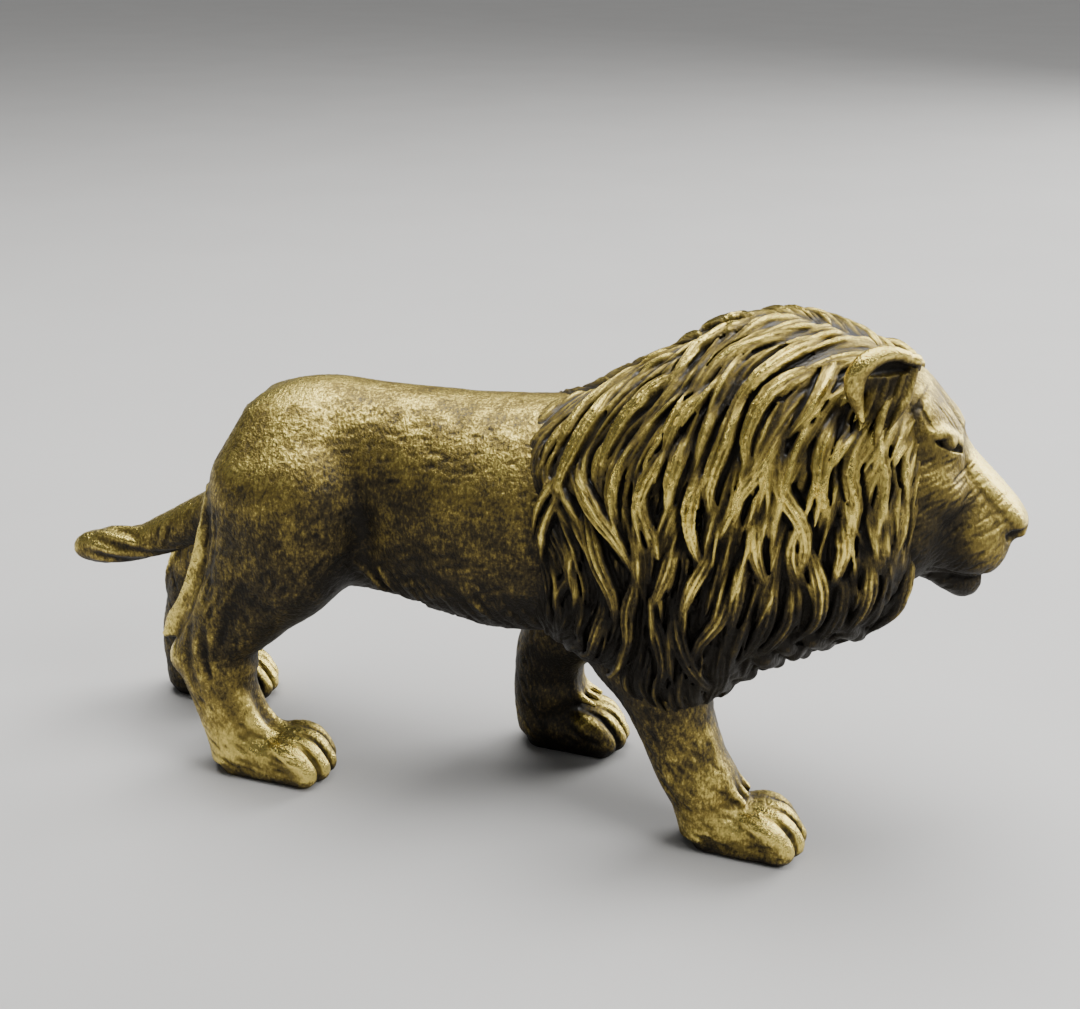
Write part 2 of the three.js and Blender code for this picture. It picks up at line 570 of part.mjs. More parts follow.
const castings = {
  trunk: cut(trunkForm(), ...grownLegs, ...sockets),
  mane: cut(maneForm(), ...grownCore, ...grownLegs, ...grownEars),
  head: cut(headForm(), jawForm(seamGap), ...grownEars, ...sockets),
  lower_jaw: jawForm(),
  right_ear: earForm(-1),
  left_ear: earForm(1),
  tail: cut(tailForm(), trunkForm(seamGap), ...sockets),
};
for (const [name, leg] of Object.entries(legs)) castings[name] = cut(legForm(leg), ...sockets);
for (const [name, dowel] of Object.entries(dowels)) castings[name] = dowel(0);

const brassFinish = { color: 0xb5924c, roughness: 0.38, metalness: 1 };
const dowelFinish = { color: 0xc9a75c, roughness: 0.3, metalness: 1 };

const lion = new THREE.Group();
for (const [name, form] of Object.entries(castings)) {
  const { vertProperties, triVerts } = form.getMesh();
  const geometry = new THREE.BufferGeometry();
  geometry.setAttribute("position", new THREE.BufferAttribute(vertProperties, 3));
  geometry.setIndex(new THREE.BufferAttribute(triVerts, 1));
  const finish = name in dowels ? dowelFinish : brassFinish;
  const mesh = new THREE.Mesh(geometry, new THREE.MeshStandardMaterial(finish));
  mesh.name = name;
  lion.add(mesh);
}

// The origin is the middle of the figure's footprint, on the ground.
const extent = new THREE.Box3().setFromObject(lion);
const middle = extent.getCenter(new THREE.Vector3());
lion.position.set(-middle.x, -middle.y, -extent.min.z);
const figurine = new THREE.Group().add(lion);
export default figurine;
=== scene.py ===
import math

import bpy
import numpy as np
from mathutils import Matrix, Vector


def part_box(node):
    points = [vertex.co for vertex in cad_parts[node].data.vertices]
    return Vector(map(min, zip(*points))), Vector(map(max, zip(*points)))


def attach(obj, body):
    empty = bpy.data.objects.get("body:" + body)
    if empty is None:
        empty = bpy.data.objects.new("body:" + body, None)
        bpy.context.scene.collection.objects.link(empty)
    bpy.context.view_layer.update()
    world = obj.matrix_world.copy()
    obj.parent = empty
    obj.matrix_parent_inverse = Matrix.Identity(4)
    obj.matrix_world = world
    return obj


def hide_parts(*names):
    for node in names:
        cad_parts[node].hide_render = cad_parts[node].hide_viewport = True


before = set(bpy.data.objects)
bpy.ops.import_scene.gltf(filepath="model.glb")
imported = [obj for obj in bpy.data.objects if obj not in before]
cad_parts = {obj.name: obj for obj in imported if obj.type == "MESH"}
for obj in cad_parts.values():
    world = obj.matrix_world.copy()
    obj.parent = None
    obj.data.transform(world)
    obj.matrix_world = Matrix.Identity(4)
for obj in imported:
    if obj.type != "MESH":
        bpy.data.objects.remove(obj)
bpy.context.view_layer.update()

import openvdb
from mathutils import Euler

# A walking brass lion, modelled as a founder's pattern: forms are pressed together in a block of clay,
# locks of hair are laid over them, and the skin of the clay becomes the pieces.
# Lengths are millimetres until a piece is made. +X is forward, +Y the lion's left, and the near side is -Y.

MM = 0.001
FAR = 9.0  # what the clay holds away from any surface
REACH = 2.4  # how far from a surface distances are worked out
BODY_GRAIN = 0.15
MANE_GRAIN = 0.12
HEAD_GRAIN = 0.09
EAR_GRAIN = 0.09
SHADE_GRAIN = 0.45
STRAND_DEPTH = 0.24  # of the partings between the strands of a lock
SIDES = {"right": -1, "left": 1}
SEEDS = {"grain": 5, "coat": 3, "fringe": 8, "mane": 11, "hem": 17, "face": 21, "ear": 31}


def corners(node):
    """The lowest and the highest corner of a casting, in millimetres."""
    low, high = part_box(node)
    return np.array(low) / MM, np.array(high) / MM


TRUNK_LOW, TRUNK_HIGH = corners("trunk")
RUMP, BELLY = TRUNK_LOW[0], TRUNK_LOW[2]
NECK, BACK = TRUNK_HIGH[0], TRUNK_HIGH[2] - 1
NOSE = corners("head")[1][0]
TAIL_TIP = corners("tail")[0][0]
TRACK = 11.6  # between the mid-lines of the left and right paws


# Random numbers, smooth steps and curves


def draws(name):
    """Random numbers for one job, the same on every run."""
    return np.random.default_rng(SEEDS[name])


class Grain:
    """Smooth random values over space, between -1 and 1."""

    def __init__(self, random):
        self.cells = 32
        self.table = random.uniform(-1, 1, [self.cells] * 3).astype(np.float32)

    def at(self, points, size):
        p = np.asarray(points, np.float32) / size
        cell = np.floor(p).astype(int)
        t = p - cell
        t = t * t * (3 - 2 * t)
        total = 0
        for corner in range(8):
            step = [(corner >> axis) & 1 for axis in range(3)]
            weight = 1
            for axis in range(3):
                weight = weight * (t[:, axis] if step[axis] else 1 - t[:, axis])
            i, j, k = [(cell[:, axis] + step[axis]) % self.cells for axis in range(3)]
            total = total + weight * self.table[i, j, k]
        return total


GRAIN = Grain(draws("grain"))


def ease(value, low, high):
    """0 below low, 1 above high, and smooth between."""
    t = np.clip((np.asarray(value, float) - low) / (high - low), 0, 1)
    return t * t * (3 - 2 * t)


def curve(rows, places):
    """Every column of rows on a smooth curve, at places from 0 at the first row to 1 at the last."""
    rows = np.asarray(rows, float)
    spot = np.clip(np.asarray(places, float), 0, 1) * (len(rows) - 1)
    i = np.minimum(np.floor(spot).astype(int), len(rows) - 2)
    t = (spot - i)[..., None]
    a, b, c, d = [rows[np.clip(i + k, 0, len(rows) - 1)] for k in (-1, 0, 1, 2)]
    bend = 2 * a - 5 * b + 4 * c - d
    return 0.5 * (2 * b + (c - a) * t + bend * t**2 + (3 * (b - c) + d - a) * t**3)


def through(rows, count):
    """So many even places on the smooth curve through rows."""
    return curve(rows, np.linspace(0, 1, count))


def mirrored(points, side):
    """Points given for the left side, moved to the side that is asked for."""
    return [(x, side * y, z) for x, y, z in points]


def unit(vectors):
    vectors = np.asarray(vectors, float)
    return vectors / np.maximum(np.linalg.norm(vectors, axis=-1, keepdims=True), 1e-9)


# Lofts, pressed into the clay as closed skins

LOFT_RINGS = 90


def closed_skin(rings):
    """Points and faces of a skin through rings of equally many points, with a fan over each end."""
    count, sides = rings.shape[:2]
    points = np.vstack([rings.reshape(-1, 3), rings[0].mean(0), rings[-1].mean(0)])
    k = np.arange(sides)
    around = (k + 1) % sides
    base = (np.arange(count - 1) * sides)[:, None]
    quads = np.stack([base + k, base + around, base + sides + around, base + sides + k], -1).reshape(-1, 4)
    last = (count - 1) * sides
    hub = count * sides
    fans = np.vstack([
        np.stack([np.full(sides, hub), around, k], -1),
        np.stack([np.full(sides, hub + 1), last + k, last + around], -1),
    ])
    return points, fans, quads


def rounded(angle, across, up, power):
    """A rounded section: power 2 is an ellipse, and more is squarer."""
    c, s = np.cos(angle), np.sin(angle)
    return across * np.sign(c) * np.abs(c) ** (2 / power), up * np.sign(s) * np.abs(s) ** (2 / power)


def angles(count):
    return (np.arange(count) * 2 * np.pi / count)[None, :]


def upright_loft(rows, power=2.2):
    """Sections square to X: rows of x, top, bottom, half width and the power of the lower half."""
    x, top, bottom, half, lower = through(rows, LOFT_RINGS).T[:, :, None]
    angle = angles(64)
    y, z = rounded(angle, half, (top - bottom) / 2, np.where(angle > np.pi, lower, power))
    return closed_skin(np.stack([x + 0 * y, y, (top + bottom) / 2 + z], -1))


def limb_loft(rows, power=2.2):
    """Sections square to a spine: rows of x, y, z, half depth and half width."""
    values = through(rows, LOFT_RINGS)
    middle = values[:, :3]
    along = unit(np.gradient(middle, axis=0) * [1, 0, 1])
    across = np.stack([-along[:, 2], 0 * along[:, 0], along[:, 0]], -1)
    out = np.cross(along, across)
    a, b = rounded(angles(48), values[:, 3:4], values[:, 4:5], power)
    return closed_skin(middle[:, None] + a[..., None] * across[:, None] + b[..., None] * out[:, None])


# The clay


def join(a, b, blend):
    """The nearer of two distances, rounded over a width of blend where they meet."""
    if blend <= 0:
        return np.minimum(a, b)
    h = np.maximum(blend - np.abs(a - b), 0)
    return np.minimum(a, b) - h * h / (4 * blend)


def oval(offsets, radii):
    """The distance from the surface of an oval body, for offsets from its middle along its axes."""
    near = np.sqrt(sum((v / r) ** 2 for v, r in zip(offsets, radii)))
    steep = np.sqrt(sum((v / r**2) ** 2 for v, r in zip(offsets, radii)))
    return near * (near - 1) / np.maximum(steep, 1e-6)


def fading(count):
    """Full in the middle of a line of so many points and nearly nothing at its ends."""
    return np.sin(np.pi * np.linspace(0.08, 0.92, count))[:, None] ** 0.6


class Clay:
    """A block of space whose values are distances from the surface, below zero inside it."""

    def __init__(self, low, high, grain):
        self.grain = grain
        self.first = np.floor(np.array(low) / grain).astype(int)
        self.count = np.ceil(np.array(high) / grain).astype(int) - self.first + 1
        self.depth = np.full(self.count, FAR, np.float32)
        self.form = np.zeros(self.count, np.int16)

    def window(self, low, high):
        """The part of the block between two corners, and the coordinates of its points."""
        start = np.clip(np.floor(np.array(low) / self.grain).astype(int) - self.first, 0, self.count)
        stop = np.clip(np.ceil(np.array(high) / self.grain).astype(int) - self.first + 1, 0, self.count)
        place = tuple(slice(a, b) for a, b in zip(start, stop))
        lines = [(np.arange(a, b) + f) * self.grain for a, b, f in zip(start, stop, self.first)]
        x, y, z = [line.astype(np.float32) for line in lines]
        return place, (x[:, None, None], y[None, :, None], z[None, None, :])

    def press(self, place, distance, blend, form, cut=False):
        """Adds a form's distances to the clay, or cuts it away."""
        old = self.depth[place]
        if old.size == 0:
            return
        if cut:
            self.depth[place] = -join(-old, distance, blend)
            return
        if form is not None:
            np.copyto(self.form[place], form, where=distance < old)
        self.depth[place] = join(old, distance, blend)

    def loft(self, skin, blend=0, form=None):
        points, fans, quads = skin
        grid = openvdb.FloatGrid.createLevelSetFromPolygons(
            points.astype(np.float32),
            triangles=fans.astype(np.uint32),
            quads=quads.astype(np.uint32),
            transform=openvdb.createLinearTransform(voxelSize=self.grain),
            halfWidth=REACH / self.grain,
        )
        place, _ = self.window(points.min(0) - REACH, points.max(0) + REACH)
        distance = np.full(self.depth[place].shape, REACH, np.float32)
        corner = [int(f + s.start) for f, s in zip(self.first, place)]
        grid.copyToArray(distance, ijk=tuple(corner))
        self.press(place, distance, blend, form)

    def ball(self, centre, radii, blend, form=None, turn=(0, 0, 0), cut=False):
        """An ellipsoid, turned by degrees about X, Y and Z."""
        radii = np.broadcast_to(np.array(radii, float), 3)
        room = radii.max() + blend + 2 * self.grain
        place, (x, y, z) = self.window(np.array(centre) - room, np.array(centre) + room)
        matrix = np.array(Euler([math.radians(t) for t in turn]).to_matrix())
        p = [x - centre[0], y - centre[1], z - centre[2]]
        local = [sum(matrix[row][axis] * p[row] for row in range(3)) for axis in range(3)]
        self.press(place, oval(local, radii).astype(np.float32), blend, form, cut)

    def gather(self, low, high, stretches, blend, form, cut=False):
        """Presses in a long form at once, from stretches that each know their corners and their distance."""
        place, _ = self.window(low, high)
        whole = np.full(self.depth[place].shape, FAR, np.float32)
        if whole.size == 0:
            return
        for near, far, distance_at in stretches:
            part, (x, y, z) = self.window(near, far)
            local = tuple(slice(p.start - w.start, p.stop - w.start) for p, w in zip(part, place))
            whole[local] = np.minimum(whole[local], distance_at(x, y, z))
        self.press(place, whole, blend, form, cut)

    def cord(self, points, radii, blend, form=None, cut=False):
        """A round cord through points, whose radius runs through radii from its first to its last."""
        points = np.array(points, float)
        radii = through(np.array(radii, float)[:, None], len(points))[:, 0]
        room = radii.max() + blend + 2 * self.grain

        def stretch(a, b, ra, rb):
            along = b - a

            def distance_at(x, y, z):
                p = [x - a[0], y - a[1], z - a[2]]
                t = np.clip(sum(v * w for v, w in zip(p, along)) / max(along @ along, 1e-9), 0, 1)
                return np.sqrt(sum((v - t * w) ** 2 for v, w in zip(p, along))) - (ra + t * (rb - ra))

            return np.minimum(a, b) - room, np.maximum(a, b) + room, distance_at

        stretches = [stretch(*ends) for ends in zip(points[:-1], points[1:], radii[:-1], radii[1:])]
        self.gather(points.min(0) - room, points.max(0) + room, stretches, blend, form, cut)

    def lay(self, lock, blend, form):
        """A lock of hair: a tapering band with an oval section, ridged along its outside by its strands."""
        spine, across, out = lock["spine"], lock["across"], lock["out"]
        width, height = lock["width"], lock["height"]
        steps = len(spine) - 1
        room = max(width.max(), height.max()) + blend + 2 * self.grain

        def stretch(i):
            a, along = spine[i], spine[i + 1] - spine[i]
            reach = along @ along

            def distance_at(x, y, z):
                p = [x - a[0], y - a[1], z - a[2]]
                t = np.clip(sum(v * w for v, w in zip(p, along)) / reach, 0, 1)
                q = [v - t * w for v, w in zip(p, along)]
                side = sum(v * (m + t * (n - m)) for v, m, n in zip(q, across[i], across[i + 1]))
                rise = sum(v * (m + t * (n - m)) for v, m, n in zip(q, out[i], out[i + 1]))
                past = sum(v * w for v, w in zip(q, along / math.sqrt(reach)))
                w = width[i] + t * (width[i + 1] - width[i])
                h = height[i] + t * (height[i + 1] - height[i])
                turn = lock["strands"] * side / w + lock["drift"] * ((i + t) / steps - 0.5)
                parting = (0.5 - 0.5 * np.cos(np.pi * turn)) ** 2
                return oval((side, rise, past), (w, h, h)) + STRAND_DEPTH * parting * np.minimum(w / 0.7, 1)

            return np.minimum(a, spine[i + 1]) - room, np.maximum(a, spine[i + 1]) + room, distance_at

        stretches = [stretch(i) for i in range(steps)]
        self.gather(spine.min(0) - room, spine.max(0) + room, stretches, blend, form)

    def sample(self, points, values=None):
        """The clay's value at each point, between its eight neighbours."""
        values = self.depth if values is None else values
        p = np.asarray(points, float) / self.grain - self.first
        cell = np.clip(np.floor(p).astype(int), 0, self.count - 2)
        t = np.clip(p - cell, 0, 1)
        total = np.zeros(len(p))
        for corner in range(8):
            step = np.array([(corner >> axis) & 1 for axis in range(3)])
            weight = np.prod(np.where(step, t, 1 - t), axis=1)
            i, j, k = (cell + step).T
            total += weight * values[i, j, k]
        return total

    def slope(self, points):
        """The direction out of the surface at each point."""
        points = np.asarray(points, float)
        gap = 1.5 * self.grain
        return unit(np.stack([
            self.sample(points + gap * axis) - self.sample(points - gap * axis) for axis in np.eye(3)
        ], -1))

    def settle(self, points):
        """Moves points that are near the surface onto it."""
        points = np.array(points, float)
        for _ in range(6):
            points = points - np.clip(self.sample(points), -1, 1)[:, None] * self.slope(points)
        return points

    def on_side(self, marks, side, steps=6):
        """Marks (x, z) drawn on one side of the figure, as a smooth line of points on its surface."""
        marks = np.array(marks, float)
        if len(marks) > 1:
            marks = through(marks, (len(marks) - 1) * steps + 1)
        found = []
        for x, z in marks:
            i = int(round(x / self.grain)) - self.first[0]
            k = int(round(z / self.grain)) - self.first[2]
            if not (0 <= i < self.count[0] and 0 <= k < self.count[2]):
                continue
            inside = np.flatnonzero(self.depth[i, :, k] < 0)
            if len(inside):
                j = inside[0] if side < 0 else inside[-1]
                found.append([x, (j + self.first[1]) * self.grain, z])
        return self.settle(found) if found else np.zeros((0, 3))

    def groove(self, line, width, depth, blend=0.15):
        """Cuts a groove along a line on the surface, fading at both ends."""
        if len(line) < 2:
            return
        radius = width / 2
        raised = line + self.slope(line) * (radius - depth * fading(len(line)))
        self.cord(raised, [radius * 0.7, radius, radius, radius * 0.6], blend, cut=True)

    def ridge(self, line, width, height, blend, form):
        """Adds a ridge along a line on the surface, fading at both ends."""
        if len(line) < 2:
            return
        radius = width / 2
        sunk = line - self.slope(line) * (radius - height * fading(len(line)))
        self.cord(sunk, [radius * 0.7, radius, radius, radius * 0.7], blend, form)

    def stand_on_floor(self):
        """Cuts away what lies below the floor."""
        z = (np.arange(self.count[2]) + self.first[2]) * self.grain
        self.depth = np.maximum(self.depth, -z.astype(np.float32))

    def skin(self):
        """The surface as points and four-sided faces."""
        grid = openvdb.FloatGrid(FAR)
        grid.copyFromArray(self.depth, ijk=tuple(int(f) for f in self.first))
        grid.transform = openvdb.createLinearTransform(voxelSize=self.grain)
        points, quads = grid.convertToQuads(0.0)
        return points.astype(float), quads.astype(np.int64)

    def form_at(self, points):
        i, j, k = np.clip(np.rint(points / self.grain).astype(int) - self.first, 0, self.count - 1).T
        return self.form[i, j, k]


def blur(values, sigma):
    """A soft average over a number of grid steps."""
    taps = np.arange(-int(3 * sigma + 0.5), int(3 * sigma + 0.5) + 1)
    weights = np.exp(-(taps**2) / (2 * sigma**2))
    weights = (weights / weights.sum()).astype(np.float32)
    for axis in range(3):
        edge = [(0, 0)] * 3
        edge[axis] = (-taps[0], taps[-1])
        padded = np.pad(values, edge, mode="edge")
        length = values.shape[axis]
        values = sum(w * np.take(padded, range(n, n + length), axis=axis) for n, w in enumerate(weights))
    return values


# Trunk, tail and legs, in one block so that they flow into each other as in a casting

LEGS = ["right_foreleg", "left_foreleg", "right_hindleg", "left_hindleg"]
FORMS = ["trunk", "tail"] + LEGS

HIP = -18.0
SHOULDER = 11.5
PAW_X = {"right_foreleg": 21.5, "left_foreleg": 4.5, "right_hindleg": -19.1, "left_hindleg": -30.0}
PAW_LENGTH = {"foreleg": 10.3, "hindleg": 11.2}
PAW_HALF_WIDTH = 2.95
TOES = 4
TOE_CURVE = 5.0  # how much further back the outer toes end than the inner ones

# Rows down each leg's spine, the upper ones measured from its joint and the lower ones from its paw:
# x, z, half depth, half width and how far it lies inside its paw's line
UPPER_LEG = {
    "right_foreleg": [
        [-0.2, 27, 3.2, 2.2, 1.6],
        [0, 24, 5.4, 3.8, 1.1],
        [0.9, 18, 5.1, 3.8, 0.9],
    ],
    "left_foreleg": [
        [-0.2, 27, 3.2, 2.2, 1.6],
        [-0.6, 24, 5.4, 3.8, 1.1],
        [-3, 18, 5.4, 3.8, 0.9],
    ],
    "right_hindleg": [
        [0.2, 31.4, 2.6, 1.2, 3.4],
        [0.7, 27.6, 5.4, 3.7, 1.2],
        [0.3, 21, 5.9, 3.9, 0.9],
        [-2.8, 16, 4.4, 3.4, 0.5],
    ],
    "left_hindleg": [
        [0.2, 31.4, 2.6, 1.2, 3.4],
        [-0.4, 27.6, 6.3, 3.7, 1.2],
        [-3.2, 21, 6.2, 3.9, 0.9],
        [-7.2, 16, 4.7, 3.4, 0.5],
    ],
}
LOWER_LEG = {
    "right_foreleg": [
        [-7.0, 13.6, 3.9, 3.3, 0.5],
        [-5.7, 10, 3.1, 2.8, 0.2],
        [-4.5, 7, 2.9, 2.5, 0],
        [-3.3, 4.4, 2.7, 2.6, 0],
        [-2.5, 1.6, 2.6, 2.5, 0],
    ],
    "left_foreleg": [
        [0.6, 13, 4.1, 3.2, 0.5],
        [-1.7, 9.6, 3.2, 2.7, 0.2],
        [-2.4, 6.4, 2.9, 2.5, 0],
        [-2.4, 3.8, 2.9, 2.5, 0],
        [-2.3, 1.6, 2.6, 2.4, 0],
    ],
    "right_hindleg": [
        [-4.1, 12.4, 3.4, 2.9, 0.2],
        [-4.5, 9.4, 3.3, 2.7, 0],
        [-4.2, 6.8, 2.8, 2.5, 0],
        [-3.6, 4.2, 2.6, 2.5, 0],
        [-3.0, 1.6, 2.6, 2.5, 0],
    ],
    "left_hindleg": [
        [0, 12.3, 4.1, 2.8, 0.2],
        [-1.7, 8.8, 3.1, 2.6, 0],
        [-2.5, 5.9, 2.9, 2.4, 0],
        [-2.5, 3.2, 2.9, 2.5, 0],
        [-2.3, 1.4, 2.8, 2.4, 0],
    ],
}


def press_trunk(body):
    form = FORMS.index("trunk")
    rows = [
        [RUMP + 0.9, BACK - 12, BELLY + 3.8, 2.2, 2.2],
        [RUMP + 2.6, BACK - 8, BELLY + 2.2, 4.4, 2.2],
        [RUMP + 4.7, BACK - 3.8, BELLY + 1.6, 5.7, 2.2],
        [RUMP + 7.0, BACK - 1.2, BELLY + 1.4, 6.5, 2.2],
        [HIP + 2.4, BACK, BELLY + 1.6, 6.7, 2.2],
        [HIP + 8, BACK - 0.1, BELLY + 0.9, 6.4, 2.2],
        [-2, BACK - 0.2, BELLY + 0.2, 6.8, 2.2],
        [SHOULDER - 6, BACK + 0.3, BELLY, 7.2, 2.2],
        [SHOULDER + 2, BACK + 0.8, BELLY + 1, 7.0, 2.2],
        [NECK, BACK + 0.6, BELLY + 3, 6, 2.2],
    ]
    body.loft(upright_loft(rows, power=2.05), form=form)
    for side in SIDES.values():
        ribs = (1, side * 2.2, 23.6)
        body.ball(ribs, (10, 5.7, 8), blend=2.4, form=form, turn=(0, 4, 0))
        flank_hollow = (-10.9, side * 9.6, 22.5)
        body.ball(flank_hollow, (2.6, 3.4, 6.5), blend=2.4, turn=(0, -6, 0), cut=True)


def leg_rows(leg, side):
    """Rows down a leg's spine: x, y, z, half depth and half width."""
    joint = SHOULDER if leg.endswith("foreleg") else HIP
    rows = []
    for start, table in ((joint, UPPER_LEG[leg]), (PAW_X[leg], LOWER_LEG[leg])):
        for x, z, depth, width, inset in table:
            rows.append([start + x, side * TRACK / 2 - side * inset, z, depth, width])
    return rows


def toe_ends(middle_y, places):
    """For places across a paw, counted in toes: the y there, and how far the toes end behind the longest."""
    for place in places:
        share = place / TOES - 0.5
        yield middle_y + share * 2 * (PAW_HALF_WIDTH - 0.25), TOE_CURVE * share * share


def press_paw(body, middle_x, middle_y, length, form):
    """A broad paw that rounds over into four toes, flat underneath."""
    heel = middle_x - length / 2
    toe = middle_x + length / 2
    half = PAW_HALF_WIDTH
    rows = [
        [heel + 0.9, 2.4, 0.5, half * 0.45, 2.4],
        [heel + 1.9, 3.9, -0.4, half * 0.78, 3],
        [heel + length * 0.35, 4.3, -0.5, half * 0.88, 3],
        [heel + length * 0.58, 4.0, -0.5, half * 0.95, 3],
        [heel + length * 0.76, 3.5, -0.4, half * 0.92, 3],
        [toe - 1.3, 2.2, 0.1, half * 0.7, 2.4],
    ]
    skin = upright_loft(rows)
    skin[0][:, 1] += middle_y
    body.loft(skin, blend=1.0, form=form)
    for y, back in toe_ends(middle_y, [k + 0.5 for k in range(TOES)]):
        knuckles = [
            (toe - 4.6 - back * 0.5, middle_y + (y - middle_y) * 0.75, 3.35),
            (toe - 3.0 - back, middle_y + (y - middle_y) * 0.95, 3.0),
            (toe - 1.8 - back, y, 2.3),
            (toe - 1.15 - back, y, 1.3),
        ]
        body.cord(through(knuckles, 11), [0.5, 0.85, 1.05, 1.0, 0.9], blend=0.4, form=form)
        body.ball((toe - 1.45 - back, y, 1.2), (1.35, 0.9, 1.25), blend=0.3, form=form)
    for y, back in toe_ends(middle_y, range(1, TOES)):
        parting = [
            (toe - 3.4 - back * 0.5, middle_y + (y - middle_y) * 0.9, 3.7),
            (toe - 2.2 - back * 0.8, middle_y + (y - middle_y) * 0.97, 3.3),
            (toe - 1.2 - back, y, 2.5),
            (toe - 0.6 - back, y, 1.5),
            (toe - 0.5 - back, y, 0.4),
        ]
        body.groove(body.settle(through(parting, 15)), width=0.45, depth=0.26)
    for side in SIDES.values():
        heel_crease = [
            (heel + 2.4, middle_y + side * (half + 0.1), 1.5),
            (heel + 4.6, middle_y + side * (half + 0.3), 0.9),
        ]
        body.cord(heel_crease, [0.3, 0.3], blend=0.5, cut=True)


def press_hock(body, rows, side, form):
    """The bulge of the thigh, the point of the near hock, and two tendons down to the paw."""
    y = side * TRACK / 2
    thigh, hock, shin, ankle = rows[2], rows[5], rows[6], rows[7]
    bulge = (thigh[0] + 2.4, y * 1.02, 22.5)
    body.ball(bulge, (4.2, 3.3, 6.6), blend=1.8, form=form, turn=(0, 12, 0))
    if side == SIDES["right"]:
        point = (hock[0] - 2.5, y + side * 0.2, hock[2] + 1.1)
        body.ball(point, (1.6, 1.8, 2.0), blend=0.8, form=form, turn=(0, 30, 0))
    for shift in (-1.0, 0.9):
        tendon = [
            (hock[0] + 1.3, y + side * 0.6 + shift, hock[2] + 0.4),
            (shin[0] + 2.1, y + side * 0.2 + shift, shin[2]),
            (ankle[0] + 2.4, y + shift, ankle[2] + 0.6),
            (ankle[0] + 4.4, y + shift, 3.5),
        ]
        body.cord(through(tendon, 12), [0.5, 0.75, 0.75, 0.3], blend=0.6, form=form)


def press_wrist(body, rows, side, form):
    """The wrist, and three tendons over it to the toes."""
    y = side * TRACK / 2
    shank, wrist = rows[4], rows[5]
    body.ball((wrist[0] + 0.7, y, wrist[2] - 1.2), (2.4, 2.4, 1.7), blend=1.2, form=form)
    for shift in (-1.1, 0.2, 1.3):
        tendon = [
            (shank[0] + 2.3, y + shift * 0.8, shank[2] + 0.5),
            (wrist[0] + 2.4, y + shift * 0.9, wrist[2] - 0.4),
            (wrist[0] + 4.6, y + shift, 4.5),
        ]
        body.cord(through(tendon, 9), [0.35, 0.55, 0.2], blend=0.6, form=form)


def press_leg(body, leg):
    side_name, kind = leg.split("_")
    side = SIDES[side_name]
    form = FORMS.index(leg)
    rows = leg_rows(leg, side)
    body.loft(limb_loft(rows), blend=2.2, form=form)
    press_paw(body, PAW_X[leg], side * TRACK / 2, PAW_LENGTH[kind], form)
    if kind == "hindleg":
        press_hock(body, rows, side, form)
    else:
        press_wrist(body, rows, side, form)


def press_tail(body):
    """The tail, with a tuft of twisted locks at its tip."""
    form = FORMS.index("tail")
    rows = [
        [RUMP + 4, 0, 22.6, 2.0, 2.0],
        [RUMP - 1, 0, 20.0, 1.9, 1.8],
        [RUMP - 4, 0, 18.5, 1.65, 1.6],
        [TAIL_TIP + 6.5, 0, 17.2, 1.45, 1.4],
        [TAIL_TIP + 3.6, 0, 16.6, 1.55, 1.45],
        [TAIL_TIP + 1.2, 0, 16.2, 1.3, 1.2],
        [TAIL_TIP + 0.1, 0, 16.1, 0.7, 0.7],
    ]
    body.loft(limb_loft(rows, power=2), blend=1.6, form=form)
    tuft = ((11, 1.1, 18.4), (8, 1.2, 17.6), (5, 1.3, 16.9), (2.6, 1.2, 16.4), (0.8, 0.35, 16.0))
    twist = 0.24
    for turn in range(7):
        angle = math.radians(51.4 * turn + 20)
        path = []
        for x, radius, z in tuft:
            swirl = angle + twist * x
            path.append((TAIL_TIP + x, radius * math.cos(swirl), z + radius * math.sin(swirl)))
        body.cord(through(path, 16), [0.15, 0.36, 0.42, 0.4, 0.2], blend=0.25, form=form)


# How the coat lies: at x and z, degrees that it leans back from straight down
COAT = np.array([
    [2, 30, 78], [-6, 28, 74], [-14, 31, 66], [-20, 31, 44], [-24, 26, 16], [-18, 25, 24],
    [-20, 19, 30], [-24, 14, 20], [-24, 9, -20], [-22, 4, -62], [-17, 3, -84], [-4, 19, 60],
    [-33, 8, -14], [-30, 3, -78], [12, 17, -10], [15, 11, -28], [18, 6, -40], [23, 3.5, -84],
    [9, 15, 12], [4, 9, 6], [3, 4, -30], [7, 3, -84],
])
COAT_WIDTH = 3.5  # how far one row of the coat's table reaches
COAT_STROKES = 2300
STROKE_STEPS = 6


def lie_of(table, x, z, width):
    """The lean of hair in radians at a place seen from the side, from the nearest rows of a table."""
    gap = (np.asarray(x)[:, None] - table[:, 0]) ** 2 + (np.asarray(z)[:, None] - table[:, 1]) ** 2
    weight = np.exp(-gap / (2 * width**2)) + 1e-6
    return np.radians((weight * table[:, 2]).sum(1) / weight.sum(1))


def comb_coat(body):
    """Short strokes of fur over the flanks and down the legs."""
    random = draws("coat")
    for _ in range(COAT_STROKES):
        x, z = random.uniform(-36, 27), random.uniform(1, BACK - 1)
        side = random.choice([-1, 1])
        high = ease(z, 19, 26)
        stride = random.uniform(0.16, 0.4) * (1 - 0.45 * high)
        marks = [(x, z)]
        for _ in range(STROKE_STEPS):
            lean = lie_of(COAT, [x], [z], COAT_WIDTH)[0] + random.uniform(-0.2, 0.2)
            x -= stride * math.sin(lean)
            z -= stride * math.cos(lean)
            marks.append((x, z))
        if z < 0.8:
            continue
        line = body.on_side(marks, side, steps=2)
        if len(line) < 2 * STROKE_STEPS or np.abs(np.diff(line[:, 1])).max() > 0.6:
            continue
        width, depth = random.uniform(0.25, 0.42), random.uniform(0.04, 0.11)
        body.groove(line, width, depth * (1 - 0.5 * high), blend=0.12)


